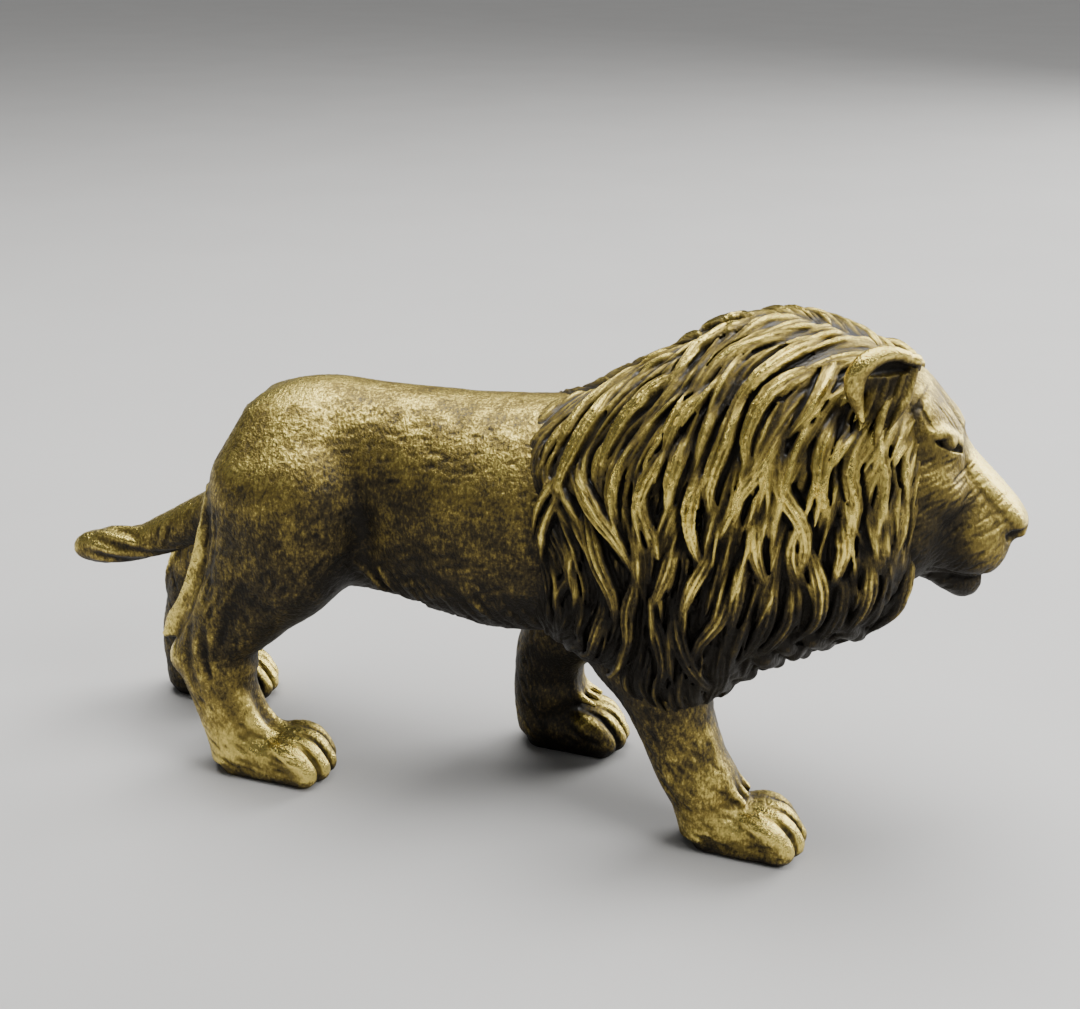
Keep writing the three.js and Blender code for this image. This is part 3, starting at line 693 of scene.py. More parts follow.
# Seen from the side, at x and z: the rear edge of each thigh, and the folds over the near hock
THIGH_REARS = {
    "right": [(-24.3, 26.5), (-24.6, 22.5), (-25.3, 18.6), (-26.3, 15.4), (-27.7, 12.6)],
    "left": [(-24.5, 26.5), (-26.4, 22.0), (-29.2, 17.8), (-32.0, 14.2), (-34.0, 10.4)],
}
HOCK_FOLDS = [
    ([(-24.6, 14.6), (-25.1, 12.4), (-25.0, 10.2), (-24.4, 8.2)], 0.9),
    ([(-23.4, 13.8), (-23.6, 11.6), (-23.2, 9.4)], 0.6),
    ([(-19.2, 18.6), (-20.4, 16.0), (-21.8, 13.6), (-22.2, 11.6)], 1.4),
]


def press_fins(body):
    """The thin edge down the rear of each thigh, and the folds in front of it."""
    for side_name, side in SIDES.items():
        form = FORMS.index(f"{side_name}_hindleg")
        rear = through(THIGH_REARS[side_name], 30)
        fin = body.settle([(x, side * 4.7, z) for x, z in rear])
        body.ridge(fin, width=0.9, height=0.45, blend=0.2, form=form)
        body.groove(fin + [0.8, side * 0.6, 0], width=0.45, depth=0.28)
        for n in range(3):
            fold = [(x + 1.3 + 0.7 * n, z) for x, z in rear[3:22:6]]
            body.groove(body.on_side(fold, side), width=0.5, depth=0.2 - 0.04 * n)


def press_flap(body):
    """The thin fold of skin that stands out behind the near thigh and ends in a point over the hock."""
    course = [
        (-23.2, -5.4, 25.6),
        (-23.8, -5.9, 21.6),
        (-24.6, -6.3, 17.9),
        (-25.4, -6.5, 15.2),
        (-27.0, -6.4, 13.1),
        (-28.1, -6.3, 12.1),
    ]
    steps = 18
    spine = through(course, steps)
    along = unit(np.gradient(spine, axis=0))
    across = unit(np.cross([0, -1, 0.15], along))
    width = through([[0.4], [0.75], [1.0], [1.3], [1.15], [0.3]], steps)[:, 0]
    flap = {
        "spine": spine,
        "across": across,
        "out": unit(np.cross(along, across)),
        "width": width,
        "height": np.full(steps, 0.32),
        "strands": 0.0,
        "drift": 0.0,
    }
    body.lay(flap, 0.2, FORMS.index("right_hindleg"))
    beside = body.settle(spine[:14] + [1.05, -0.6, 0])
    body.groove(beside, width=0.6, depth=0.3, blend=0.3)


def press_fringe(body):
    """The fringe of short locks along both sides of the belly."""
    form = FORMS.index("trunk")
    random = draws("fringe")
    for n in range(28):
        x = -9.5 + 0.5 * n + random.uniform(-0.2, 0.2)
        long = random.uniform(0.7, 1.25)
        for side in SIDES.values():
            root = (x - 1.2, side * 6.1, BELLY + 2.2 + 3.2 * long)
            middle = (x + 0.1, side * 5.7, BELLY + 2.2 + 0.6 * long)
            tip = (x + 1.4, side * random.uniform(3.4, 4.4), BELLY + 0.9)
            line = body.settle(through([root, middle, tip], 12))
            body.ridge(line, random.uniform(0.6, 0.9), height=0.22, blend=0.15, form=form)


def make_body():
    body = Clay((-41.5, -11, -1.2), (26.9, 11, 36.6), BODY_GRAIN)
    press_trunk(body)
    for leg in LEGS:
        press_leg(body, leg)
    press_tail(body)
    press_fins(body)
    press_flap(body)
    for fold, width in HOCK_FOLDS:
        body.groove(body.on_side(fold, SIDES["right"]), width, depth=0.2, blend=0.5)
    press_fringe(body)
    comb_coat(body)
    body.stand_on_floor()
    return body


# Mane: a deep collar under about nine hundred locks of hair

MANE_REAR = 4.0
MANE_FRONT = 32.4
MANE_TOP = 41.9
MANE_BOTTOM = 11.6
MANE_HALF = 10.6
MANE_ROWS = np.array([
    [MANE_REAR - 4, BACK + 0.1, BELLY + 0.4, 7.1, 2.2],
    [MANE_REAR - 0.2, BACK + 0.4, BELLY - 0.6, 7.9, 2.4],
    [MANE_REAR + 3.4, BACK + 1.3, MANE_BOTTOM + 2.2, MANE_HALF - 1.8, 3],
    [MANE_REAR + 8, BACK + 4, MANE_BOTTOM + 1.2, MANE_HALF - 0.5, 4.6],
    [MANE_REAR + 12.4, MANE_TOP - 1.6, MANE_BOTTOM + 0.6, MANE_HALF, 4.6],
    [MANE_REAR + 16.8, MANE_TOP, MANE_BOTTOM + 1.8, MANE_HALF, 2.3],
    [MANE_FRONT - 8.4, MANE_TOP - 0.2, MANE_BOTTOM + 3.6, MANE_HALF - 0.2, 2.1],
    [MANE_FRONT - 4.4, MANE_TOP - 1.5, MANE_BOTTOM + 5.6, MANE_HALF - 1, 2.1],
    [MANE_FRONT - 1.7, MANE_TOP - 3.8, MANE_BOTTOM + 7.4, MANE_HALF - 2.4, 2.1],
    [MANE_FRONT - 0.3, MANE_TOP - 6.6, MANE_BOTTOM + 9.4, MANE_HALF - 4.6, 2.1],
])
MANE_POWER = 2.1
MANE_SINK = 0.5  # how far the collar lies under the crests of the locks

# How the mane is combed: at x and z, degrees that it leans back from hanging straight down
COMBED = np.array([
    [30, 39.9, 115], [25.7, 42, 95], [22.8, 41.7, 78], [19.2, 40.9, 64], [16, 39.4, 40],
    [12.4, 38.1, 58], [9.3, 34.5, 34], [5, 34, 55], [23.8, 39.6, 58], [19.7, 36.5, 12],
    [22.4, 34.6, 20], [25.2, 39, 20], [30.3, 37.8, 18], [29.9, 34, 2], [23.3, 32, -8],
    [24.4, 30, -22], [25, 28, -3], [14.6, 32, 24], [17.6, 30.5, 4], [13.4, 30, -6],
    [9.2, 29, -26], [11, 25, -20], [4.6, 30, -2], [6.4, 22, -16], [27.4, 28, 0],
    [32, 26, 10], [31, 21.8, 44], [26, 21.9, 34], [22.4, 22, 12], [19.6, 22.5, 24],
    [15, 20, -14], [10.6, 19.5, 16], [28, 18, 62], [22, 15, 52], [17, 14, -6],
])

# Locks that stand out: their course at x and z, seen from the side, and their half width
LEADING_LOCKS = [
    ([(23.4, 41.9), (19.2, 40.9), (16, 39.2), (14.2, 36.6)], 0.85),
    ([(29.9, 39.9), (26.8, 41.8), (22.6, 42.2), (19.5, 41.9)], 0.8),
    ([(28.2, 41), (24.8, 41.4), (21.4, 40.8)], 0.65),
    ([(22.4, 41.2), (18.6, 39.6), (16.6, 37.2)], 0.65),
    ([(12.6, 38), (9.6, 35), (7.4, 31.1), (6.6, 28.5)], 0.8),
    ([(15.4, 38.2), (12.8, 36.2), (10.8, 33.4), (10, 30.8)], 0.75),
    ([(17.6, 37.6), (15.6, 35.4), (14.8, 32.8)], 0.7),
    ([(10.4, 36.4), (7.8, 34.2), (6, 31.6)], 0.65),
    ([(25, 40.9), (22.4, 39.8), (20.2, 37.9), (19.2, 35.8)], 0.75),
    ([(24.4, 39.4), (21.8, 37.8), (20.6, 35.2), (20.8, 33)], 0.75),
    ([(19.9, 38.2), (19.1, 34.8), (18.3, 31.6), (18.6, 29.2)], 0.8),
    ([(16.2, 34.6), (15.6, 31.8), (15.4, 29.2)], 0.7),
    ([(22.9, 35.8), (21.9, 33.4), (20.4, 31), (20.4, 28.6)], 0.7),
    ([(25.8, 40), (24.9, 37.6), (23.4, 35.4)], 0.65),
    ([(26.6, 37.4), (25.6, 34.6), (25.8, 32), (26.6, 29.8)], 0.7),
    ([(30.3, 38.3), (29.2, 35.1), (29.8, 32.4), (29.2, 29.6)], 0.65),
    ([(28.2, 36), (27.6, 33.4), (28.2, 30.8), (28, 28.4)], 0.65),
    ([(22.8, 35), (23.2, 32), (24.8, 29.6), (25.1, 27.2), (24.2, 24.6)], 0.75),
    ([(15.2, 33.8), (13.5, 30.6), (13.2, 27.4)], 0.7),
    ([(17.6, 32.4), (17.1, 29), (18, 25.6)], 0.75),
    ([(13.2, 32), (13.7, 28.9), (15.3, 25.8)], 0.7),
    ([(11.6, 32.6), (11.2, 30), (11.8, 27.6)], 0.65),
    ([(7.6, 31), (9.6, 28.8), (11.9, 26.7), (13.4, 24)], 0.85),
    ([(9.1, 28.6), (10.2, 25.4), (11.6, 22.4), (11.8, 19.8)], 0.85),
    ([(21.6, 30), (21.8, 27), (22.8, 24.2)], 0.7),
    ([(16.2, 27.4), (15.4, 24.4), (14.4, 21.6)], 0.7),
    ([(18.6, 27), (17.4, 24), (16.6, 21)], 0.7),
    ([(7.8, 34.2), (5.8, 32.4), (4.8, 30)], 0.45),
    ([(7, 30.6), (5.4, 28.2), (4.8, 25.6)], 0.45),
    ([(7.2, 29.6), (5.8, 26.4), (5.6, 23.4)], 0.45),
    ([(8.4, 26), (8.2, 23), (9.2, 20.4)], 0.6),
    ([(8.4, 23.6), (7, 21.2), (7, 19)], 0.45),
    ([(9.6, 20.6), (8.8, 18.6), (9.2, 16.6)], 0.45),
    ([(13.4, 24.6), (12.8, 21.6), (12.8, 18.8), (12, 16.2)], 0.7),
    ([(27.4, 30), (27.6, 27.4), (26.9, 24.6)], 0.7),
    ([(31.2, 31.2), (31.2, 28.8), (30.6, 26.4)], 0.6),
    ([(32, 26.4), (31.6, 23.8), (30.6, 21.2), (27.6, 18.3)], 0.75),
    ([(27.8, 25.4), (27.4, 22.2), (25.8, 19.4), (23.4, 17.2)], 0.7),
    ([(24.4, 24.4), (24, 21.6), (22.4, 18.8), (20.6, 16.8)], 0.7),
    ([(25.4, 28), (26.3, 24.9), (25.9, 21.7), (23.6, 18.8)], 0.75),
    ([(20, 24), (19.3, 21.8), (18, 19.6), (17.3, 17)], 0.75),
    ([(16.1, 22.6), (16.7, 19.4), (17.9, 16.4), (19.2, 13.7)], 0.75),
    ([(14.2, 21.9), (15.3, 19.2), (15.5, 16.8), (14.6, 13.8)], 0.75),
    ([(11, 21.2), (10.3, 18.4), (9.4, 15.6)], 0.7),
    ([(23.2, 26), (22.7, 22), (21.3, 19), (19.2, 16)], 0.75),
    ([(20.9, 26.4), (20.4, 23), (19.8, 19.8)], 0.7),
    ([(29.3, 27.6), (29.4, 24.4), (28.3, 21.3), (25.6, 18)], 0.7),
    ([(31.2, 39.7), (29.7, 38.9), (28.2, 37.2), (27.6, 35)], 0.35),
    ([(31.5, 38.8), (30.3, 37.8), (29.1, 36.2), (28.7, 34)], 0.35),
    ([(31.6, 37.8), (30.8, 36.5), (30.2, 34.7), (30.4, 32.6)], 0.35),
    ([(31.4, 35.6), (30.9, 33.4), (31.2, 31), (30.8, 28)], 0.38),
    ([(32.0, 33.4), (31.7, 31), (31.8, 28.6)], 0.32),
    ([(32.2, 30), (32.2, 27.2), (31.8, 24.6), (30.4, 22)], 0.4),
    ([(32.2, 26), (32.2, 23.4), (31.2, 20.6), (29, 18.2)], 0.5),
    ([(31.8, 22), (30.4, 19.6), (27.8, 17.4)], 0.45),
]
# Two layers of smaller locks, with the limits that their sizes are drawn between
GROUND_LOCKS = dict(bands=14, per_band=24, lengths=(6, 11), widths=(0.45, 0.8), lifts=(-0.1, 0.25))
RISEN_LOCKS = dict(bands=17, per_band=28, lengths=(3.5, 8), widths=(0.2, 0.44), lifts=(0.15, 0.7))
LOCK_STEPS = 14
LOCK_BLEND = 0.2  # how softly one lock runs into the next
LEADING_BLEND = 0.3
LEADING_LIFT = 0.85  # how far the leading locks stand above the rest, for each millimetre of half width
COMB_WIDTH = 2.4  # how far one row of the combing reaches
STRAY = 0.16  # how far a lock strays from the combing, in radians
SWIRL = 0.55  # how far neighbours wave together, in radians
SWIRL_SIZE = 4.2
HEM = {-1: 16.0, 1: 8.0}  # x where the hem hangs lowest, over each foreleg
HEM_DROP = 1.5
HEM_WIDTH = 4
MANE_MIDDLE = 17.5
LEFT_EAR_DROP = 3.4  # the left ear lies lower, out of sight behind the crest


def mane_point(u, angle, side, lift):
    """Points of the collar at u along it and an angle round from the crest, raised by lift."""
    x, top, bottom, half, lower = curve(MANE_ROWS, u).T
    power = np.where(angle > np.pi / 2, lower, MANE_POWER)
    y, z = rounded(np.pi / 2 - angle, half - MANE_SINK + lift, (top - bottom) / 2 - MANE_SINK + lift, power)
    return np.stack([x, side * y, (top + bottom) / 2 + z], -1)


def as_lock(spine, out, width, random):
    """A lock along a line of points, facing out; its width swells and then tapers to the tip."""
    count = len(spine)
    t = np.linspace(0, 1, count)
    along = unit(np.gradient(spine, axis=0))
    across = unit(np.cross(out, along))
    taper = (0.5 + 0.5 * ease(t, 0, 0.3)) * np.maximum(1 - t**2.2, 0) ** 0.75
    return {
        "spine": spine,
        "across": across,
        "out": unit(np.cross(along, across)),
        "width": np.maximum(width * taper, 0.15),
        "height": np.maximum((0.24 + 0.42 * width) * taper, 0.12),
        "strands": 1.0 + (width >= 0.42) + (width >= 0.66),
        "drift": random.uniform(-1.6, 1.6),
    }


def comb_locks(seeds, random):
    """Follows the combing from each seed (u, angle, side, length, width, lift) and returns the locks."""
    u, angle, side, length, width, raised = [np.array(column, float) for column in zip(*seeds)]
    count = len(u)
    stray = random.uniform(-STRAY, STRAY, count)
    advance = length / LOCK_STEPS
    gap = 0.01

    def step_length(u_gap, angle_gap):
        """How far apart two points lie, a little to either side of where the locks have come to."""
        ahead = mane_point(u + u_gap, angle + angle_gap, side, 0)
        behind = mane_point(u - u_gap, angle - angle_gap, side, 0)
        return np.maximum(np.linalg.norm(ahead - behind, axis=1), 0.2)

    spine = []
    out = []
    for step in range(LOCK_STEPS):
        t = step / (LOCK_STEPS - 1)
        on_mane = ease(curve(MANE_ROWS, u)[:, 0], MANE_REAR - 2, MANE_REAR + 5)
        under = ease(angle, 1.9, 2.7)
        arch = 1.3 * math.sin(math.pi * (0.06 + 0.8 * t)) - 0.35
        lift = on_mane * raised * arch - 0.3 * (1 - on_mane) - 0.2 * under
        point = mane_point(u, angle, side, lift)
        from_hem = point[:, 0] - np.where(side < 0, HEM[-1], HEM[1])
        over_leg = np.exp(-((from_hem / HEM_WIDTH) ** 2))
        point[:, 2] -= HEM_DROP * t * over_leg * ease(angle, 1.5, 2.2)
        spine.append(point)
        out.append(unit(mane_point(u, angle, side, lift + 1) - point))
        swirl = SWIRL * GRAIN.at(point * [1, 0.6, 1], SWIRL_SIZE)
        lean = lie_of(COMBED, point[:, 0], point[:, 2], COMB_WIDTH) + swirl + stray
        for_u = step_length(gap, 0)
        for_turn = step_length(0, gap)
        u = np.clip(u - advance * np.sin(lean) * 2 * gap / for_u, 0.01, 0.99)
        angle = np.clip(angle + advance * np.cos(lean) * 2 * gap / for_turn, -0.2, 3.1)
    spine = np.stack(spine, 1)
    out = np.stack(out, 1)
    return [as_lock(spine[n], out[n], width[n], random) for n in range(count)]


def seed_locks(random, bands, per_band, lengths, widths, lifts):
    """Where locks are rooted, in staggered bands down both sides, with sizes drawn between limits."""
    seeds = []
    for band in range(bands):
        angle = -0.05 + 2.8 * band / (bands - 1)
        for n in range(per_band):
            for side in SIDES.values():
                u = (n + 0.5 * (band % 2) + random.uniform(-0.35, 0.35)) / (per_band - 0.5)
                start = max(angle + random.uniform(-0.13, 0.13), 0.0)
                length = random.uniform(*lengths) * (1 - 0.3 * ease(start, 2.2, 2.7))
                width = random.uniform(*widths)
                raised = random.uniform(*lifts)
                seeds.append((0.16 + 0.83 * min(u, 1), start, side, length, width, raised))
    return seeds


def lead_locks(mane, random):
    """The locks that stand out, on both sides."""
    locks = []
    for marks, width in LEADING_LOCKS:
        for side in SIDES.values():
            line = mane.on_side(marks, side, steps=5)
            if len(line) < 6:
                continue
            t = np.linspace(0, 1, len(line))
            out = mane.slope(line)
            arch = 1.3 * np.sin(np.pi * (0.06 + 0.8 * t)) - 0.2
            lift = LEADING_LIFT * width * random.uniform(0.6, 1) * arch
            locks.append(as_lock(line + out * lift[:, None], out, width, random))
    return locks


def part_locks(mane, leading, random):
    """Cuts partings beside each lock that will stand out, a deep one and a shallow one."""
    for lock in leading:
        deep = random.choice([-1, 1])
        for turn, radius in ((deep, 0.24), (-deep, 0.14)):
            shift = turn * (lock["width"] + 0.5 * radius)
            beside = lock["spine"] + shift[:, None] * lock["across"] - 0.1 * lock["out"]
            mane.cord(beside[1:-1], [0.05, radius, radius, radius, 0.05], blend=0.2, cut=True)


def hang_tips(mane):
    """The tips of the lowest locks, which hang under the mane and give it an uneven lower edge."""
    random = draws("hem")
    places = np.linspace(0, 1, 12)
    for side in SIDES.values():
        for x in np.arange(19.0, 31.0, 2.0) + random.uniform(-0.5, 0.5, 6):
            low = np.interp(x, MANE_ROWS[:, 0], MANE_ROWS[:, 2])
            root = (x - 1.7, side * 7.8, low + 4.2)
            middle = (x - 0.7, side * 6.6, low + 2.5)
            tip = (x + 0.2, side * random.uniform(4.4, 5.8), low + 1.3)
            line = mane.settle(curve([root, middle, tip], places))
            drop = random.uniform(0, 0.25) * places[:, None] ** 2 - 0.35
            radii = [0.1, random.uniform(0.6, 0.75), 0.8, 0.6]
            mane.cord(line + drop * [0, 0, -1], radii, blend=0.3, form=0)


def make_mane():
    """The clay of the mane, and its locks in the order that their forms are numbered, from 1."""
    mane = Clay((-1.5, -12.9, 6.5), (35, 12.9, 44.5), MANE_GRAIN)
    rows = MANE_ROWS.copy()
    rows[:, 1:4] += [-MANE_SINK, MANE_SINK, -MANE_SINK]
    mane.loft(upright_loft(rows, power=MANE_POWER), form=0)
    random = draws("mane")
    leading = lead_locks(mane, random)
    locks = []
    for layer in (GROUND_LOCKS, RISEN_LOCKS):
        locks += comb_locks(seed_locks(random, **layer), random)
    for n, lock in enumerate(locks):
        mane.lay(lock, LOCK_BLEND, n + 1)
    part_locks(mane, leading, random)
    for lock in leading:
        locks.append(lock)
        mane.lay(lock, LEADING_BLEND, len(locks))
    hang_tips(mane)
    behind_near_ear = (26.7, -8.9, 37.3)
    mane.ball(behind_near_ear, (0.95, 1.7, 1.4), blend=0.7, turn=(0, -20, 0), cut=True)
    return mane, locks


# Head: skull, cheeks, muzzle and jaw, with points on the face given for the left side

HEAD_FORMS = ["head", "lower_jaw"]
FACE_STROKES = 420


def press_eye(head, side):
    """An eye set deep under its brow: the socket, the ball in it, the brow and the tear line."""
    opening = [
        (32.9, 4.3, 34.7), (33.5, 4.15, 34.65), (34.1, 3.6, 34.3), (34.5, 2.9, 33.8), (34.8, 2.4, 33.3),
    ]
    line = head.settle(mirrored(through(opening, 17), side))
    middle = 8
    inward = -head.slope(line)
    ball = line[middle] + 0.3 * inward[middle]
    head.cord(line + 0.12 * inward, [0.06, 0.34, 0.46, 0.34, 0.1], blend=0.16, cut=True)
    head.ball(ball, (0.6, 0.5, 0.46), blend=0.06, form=0)
    brow = [(32.5, 4.3, 35.3), (33.5, 4.0, 35.1), (34.3, 3.3, 34.75), (34.9, 2.3, 34.0)]
    line = head.settle(mirrored(through(brow, 15), side))
    head.ridge(line, width=0.9, height=0.2, blend=0.5, form=0)
    tear = [(35.2, 2.0, 32.7), (35.5, 2.3, 32.2), (35.9, 2.4, 31.7)]
    line = head.settle(mirrored(through(tear, 9), side))
    head.groove(line, width=0.4, depth=0.07, blend=0.25)


def press_mouth(head, side):
    lip = [
        (38.3, 0.4, 24.2), (37.9, 1.6, 23.8), (37.1, 2.6, 23.7),
        (35.8, 2.9, 23.8), (34.6, 3.2, 24.2), (33.3, 3.7, 25.0),
    ]
    line = head.settle(mirrored(through(lip, 26), side))
    head.groove(line, width=0.6, depth=0.4)
    nostril = [(40.2, 0.8, 27.45), (39.8, 1.4, 27.2), (39.2, 1.9, 27.0), (38.7, 2.15, 27.2)]
    line = head.settle(mirrored(through(nostril, 11), side))
    head.cord(line, [0.2, 0.45, 0.42, 0.12], blend=0.2, cut=True)


def line_forehead(head, side):
    """Fine wrinkles over the brow, and the creases of the temple and the bridge."""
    temple = [(31.6, 37.3), (32.2, 36.3), (32.9, 35.4)]
    head.groove(head.on_side(temple, side), width=0.2, depth=0.12)
    for k in range(4):
        wrinkle = [
            (32.6 + 0.35 * k, 36.6 - 0.45 * k),
            (33.0 + 0.3 * k, 36.2 - 0.5 * k),
            (33.6 + 0.25 * k, 35.9 - 0.5 * k),
        ]
        y = 2.4 - 0.5 * (k % 2)
        places = [(x + 0.1, side * y, z) for x, z in through(wrinkle, 6)]
        head.groove(head.settle(places), width=0.16, depth=0.05)
    crease = [(35.7, 31.55), (36.8, 30.2), (38.0, 28.95), (38.9, 28.0)]
    head.groove(head.on_side(crease, side), width=0.4, depth=0.07, blend=0.25)


def stroke_face(head):
    """Short strokes of fur that fan back over the muzzle and cheeks, and the hairline."""
    random = draws("face")
    for _ in range(FACE_STROKES):
        x, z = random.uniform(30.5, 39), random.uniform(22.8, 34)
        lean = math.radians(random.uniform(50, 78) - 2.4 * (33 - z))
        length = random.uniform(0.5, 1.2)
        marks = []
        for k in range(4):
            way = length * k / 3
            marks.append((x - way * math.sin(lean), z - way * math.cos(lean)))
        for side in SIDES.values():
            line = head.on_side(marks, side, steps=3)
            if len(line) > 5 and np.abs(np.diff(line[:, 1])).max() < 0.5:
                head.groove(line, random.uniform(0.18, 0.3), random.uniform(0.02, 0.06), blend=0.08)
    for k in range(9):
        hairline = [
            (32.4 - 0.18 * k, 38.2 - 0.25 * k),
            (31.9 - 0.2 * k, 36.8 - 0.3 * k),
            (31.7 - 0.16 * k, 35 - 0.35 * k),
        ]
        for side in SIDES.values():
            line = head.on_side(hairline, side)
            head.groove(line, random.uniform(0.2, 0.3), random.uniform(0.03, 0.08), blend=0.1)


def make_head():
    head = Clay((21.5, -8, 19), (41.2, 8, 41), HEAD_GRAIN)
    skull = [
        [NECK + 1, 34, 20, 5.4, 2.4],
        [26, 38.0, 21.8, 5.5, 2.4],
        [30.7, 38.3, 22.3, 5.4, 2.4],
        [32.4, 37.1, 23.0, 5.0, 2.4],
        [33.9, 35.3, 23.2, 4.3, 2.4],
        [35.2, 33.0, 23.4, 3.6, 2.4],
        [37.0, 31.2, 23.5, 3.0, 2.6],
        [38.1, 30.1, 24.1, 2.6, 2.6],
        [38.7, 29.4, 25.0, 2.2, 2.5],
        [39.2, 28.8, 26.1, 1.7, 2.4],
        [NOSE - 0.2, 27.9, 27.0, 1.0, 2.2],
    ]
    head.loft(upright_loft(skull, power=2.3), form=0)
    bridge = [
        [33.4, 34.4, 31.8, 1.6, 2.4],
        [35.2, 33.2, 31.0, 1.65, 2.4],
        [36.8, 31.65, 29.6, 1.75, 2.4],
        [38.4, 30.1, 28, 1.75, 2.4],
        [39.6, 28.8, 26.9, 1.65, 2.4],
        [NOSE - 0.15, 28.15, 26.8, 1.2, 2.2],
    ]
    head.loft(upright_loft(bridge, power=2.8), blend=0.7, form=0)
    forehead = [
        [30.4, 38.7, 32, 3.4, 2.4],
        [31.9, 37.9, 32, 3.9, 2.4],
        [33.1, 36.6, 32, 4.1, 2.4],
        [34.1, 35.4, 32, 3.7, 2.4],
        [34.8, 34.4, 32, 2.9, 2.4],
    ]
    head.loft(upright_loft(forehead, power=2.6), blend=1.4, form=0)
    for side in SIDES.values():
        cheek, cheekbone = (30.6, side * 3.6, 27.8), (33.2, side * 3.6, 31.0)
        whisker_pad, jowl = (36.7, side * 1.75, 26.0), (35.3, side * 2.5, 26.6)
        head.ball(cheek, (3.6, 2.8, 4.8), blend=1.4, form=0)
        head.ball(cheekbone, (2.3, 1.3, 1.5), blend=1.2, form=0, turn=(0, 30, 0))
        head.ball(whisker_pad, (2.1, 1.6, 2.2), blend=0.7, form=0)
        head.ball(jowl, (2.5, 1.3, 2.3), blend=1.0, form=0)
        press_eye(head, side)
        line_forehead(head, side)
    nose_tip = (39.4, 0, 27.55)
    head.ball(nose_tip, (0.8, 1.65, 0.85), blend=0.3, form=0, turn=(0, 35, 0))
    under_nose = [(39.6, 0, 26.8), (39.1, 0, 25.9), (38.7, 0, 25.0)]
    head.groove(head.settle(under_nose), width=0.35, depth=0.25)
    between_brows = [(35.0, 0, 33.9), (34.1, 0, 35.5), (32.6, 0, 37.2)]
    head.groove(head.settle(between_brows), width=0.8, depth=0.2, blend=0.6)
    jaw = [
        [31.5, 25.4, 23.0, 2.2, 2.0],
        [33.4, 25.0, 22.5, 2.3, 1.9],
        [34.7, 24.7, 21.8, 2.2, 1.9],
        [36.0, 24.3, 21.35, 1.9, 1.9],
        [36.9, 24.0, 21.7, 1.4, 2.0],
        [37.4, 23.8, 22.4, 0.9, 2.2],
    ]
    head.loft(upright_loft(jaw, power=2.2), blend=0.12, form=1)
    chin = (36.1, 0, 22.3)
    head.ball(chin, (1.1, 1.3, 0.9), blend=0.5, form=1)
    for side in SIDES.values():
        press_mouth(head, side)
    stroke_face(head)
    return head


# Ears: a bowl with a thick rim, and a fall of hair in it. All points are given for the left ear,
# before it is dropped

EAR_RIM = [
    (30.6, 6.2, 41.2), (29.4, 7.1, 41.5), (28.3, 7.8, 41.1), (27.6, 8.2, 40.2), (27.5, 8.2, 39.1),
    (27.8, 8.0, 38.0), (28.2, 7.9, 36.9),
]
EAR_FRONT = [(30.6, 6.1, 41.0), (31.3, 5.4, 40.7), (31.5, 5.0, 40.0)]
EAR_LOCKS = [
    [(30.1, 6.5, 38.5), (29.5, 7.3, 37.5), (29.3, 7.7, 36.2), (29.2, 7.8, 35.0)],
    [(31.0, 5.6, 39.3), (31.0, 6.1, 38.3), (30.6, 6.7, 37.6), (30.0, 7.2, 36.1)],
]
EAR_SLOT = [(28.6, 7.6, 40.1), (29.4, 7.2, 40.25), (30.1, 6.7, 40.3), (30.7, 6.2, 40.2)]
EAR_STRANDS = 9


def make_ear(side, drop):
    """An ear with a thick rear rim that bends over forwards, a dark slot and a fall of hair."""

    def place(points):
        return [(x, side * y, z - drop) for x, y, z in points]

    low, high = place([(24, 3 if side > 0 else 11, 34), (33, 11 if side > 0 else 3, 44)])
    ear = Clay(low, high, EAR_GRAIN)
    bowl, back_wall = place([(29.0, 5.5, 38.6), (29.05, 6.1, 39.7)])
    ear.ball(bowl, (1.5, 0.8, 1.5), blend=0, form=0, turn=(side * -14, 12, side * -40))
    ear.ball(back_wall, (2.35, 0.8, 2.0), blend=0.4, form=0, turn=(0, 0, side * -34))
    ear.cord(through(place(EAR_RIM), 30), [0.4, 0.58, 0.72, 0.74, 0.66, 0.45, 0.2], blend=0.3, form=0)
    ear.cord(place(EAR_FRONT), [0.4, 0.45, 0.2], blend=0.3, form=0)
    random = draws("ear")
    for k in range(EAR_STRANDS):
        far = k / (EAR_STRANDS - 1)
        fall, lift = random.uniform(-0.5, 0.5), random.uniform(-0.12, 0.28)
        strand = [
            (28.7 + 2.6 * far, 6.7 - 1.6 * far + lift, 40.1),
            (28.3 + 2.5 * far + 0.2 * fall, 7.4 - 1.2 * far + lift, 38.0 - 0.2 * far),
            (27.8 + 1.9 * far + 0.4 * fall, 7.7 - 0.9 * far + lift, 36.1 - 0.3 * far + 0.7 * fall),
        ]
        radii = [0.25, 0.22 + 0.12 * random.random(), 0.2, 0.05]
        ear.cord(through(place(strand), 9), radii, blend=0.05, form=0)
    for lock in EAR_LOCKS:
        ear.cord(through(place(lock), 11), [0.12, 0.3, 0.34, 0.25, 0.05], blend=0.1, form=0)
    for depth in (0.0, 0.3):
        slot = [(x - 0.3 * depth, y - depth, z) for x, y, z in EAR_SLOT]
        ear.cord(through(place(slot), 9), [0.3, 0.46, 0.52, 0.35], blend=0.12, cut=True)
    return ear


# From clay to pieces


def corner_normals(points, quads):
    """The direction out of the skin at each point."""
    a, b, c, d = [points[quads[:, k]] for k in range(4)]
    face = np.cross(c - a, d - b)
    total = np.zeros_like(points)
    for k in range(4):
        for axis in range(3):
            total[:, axis] += np.bincount(quads[:, k], face[:, axis], len(points))
    return unit(total)


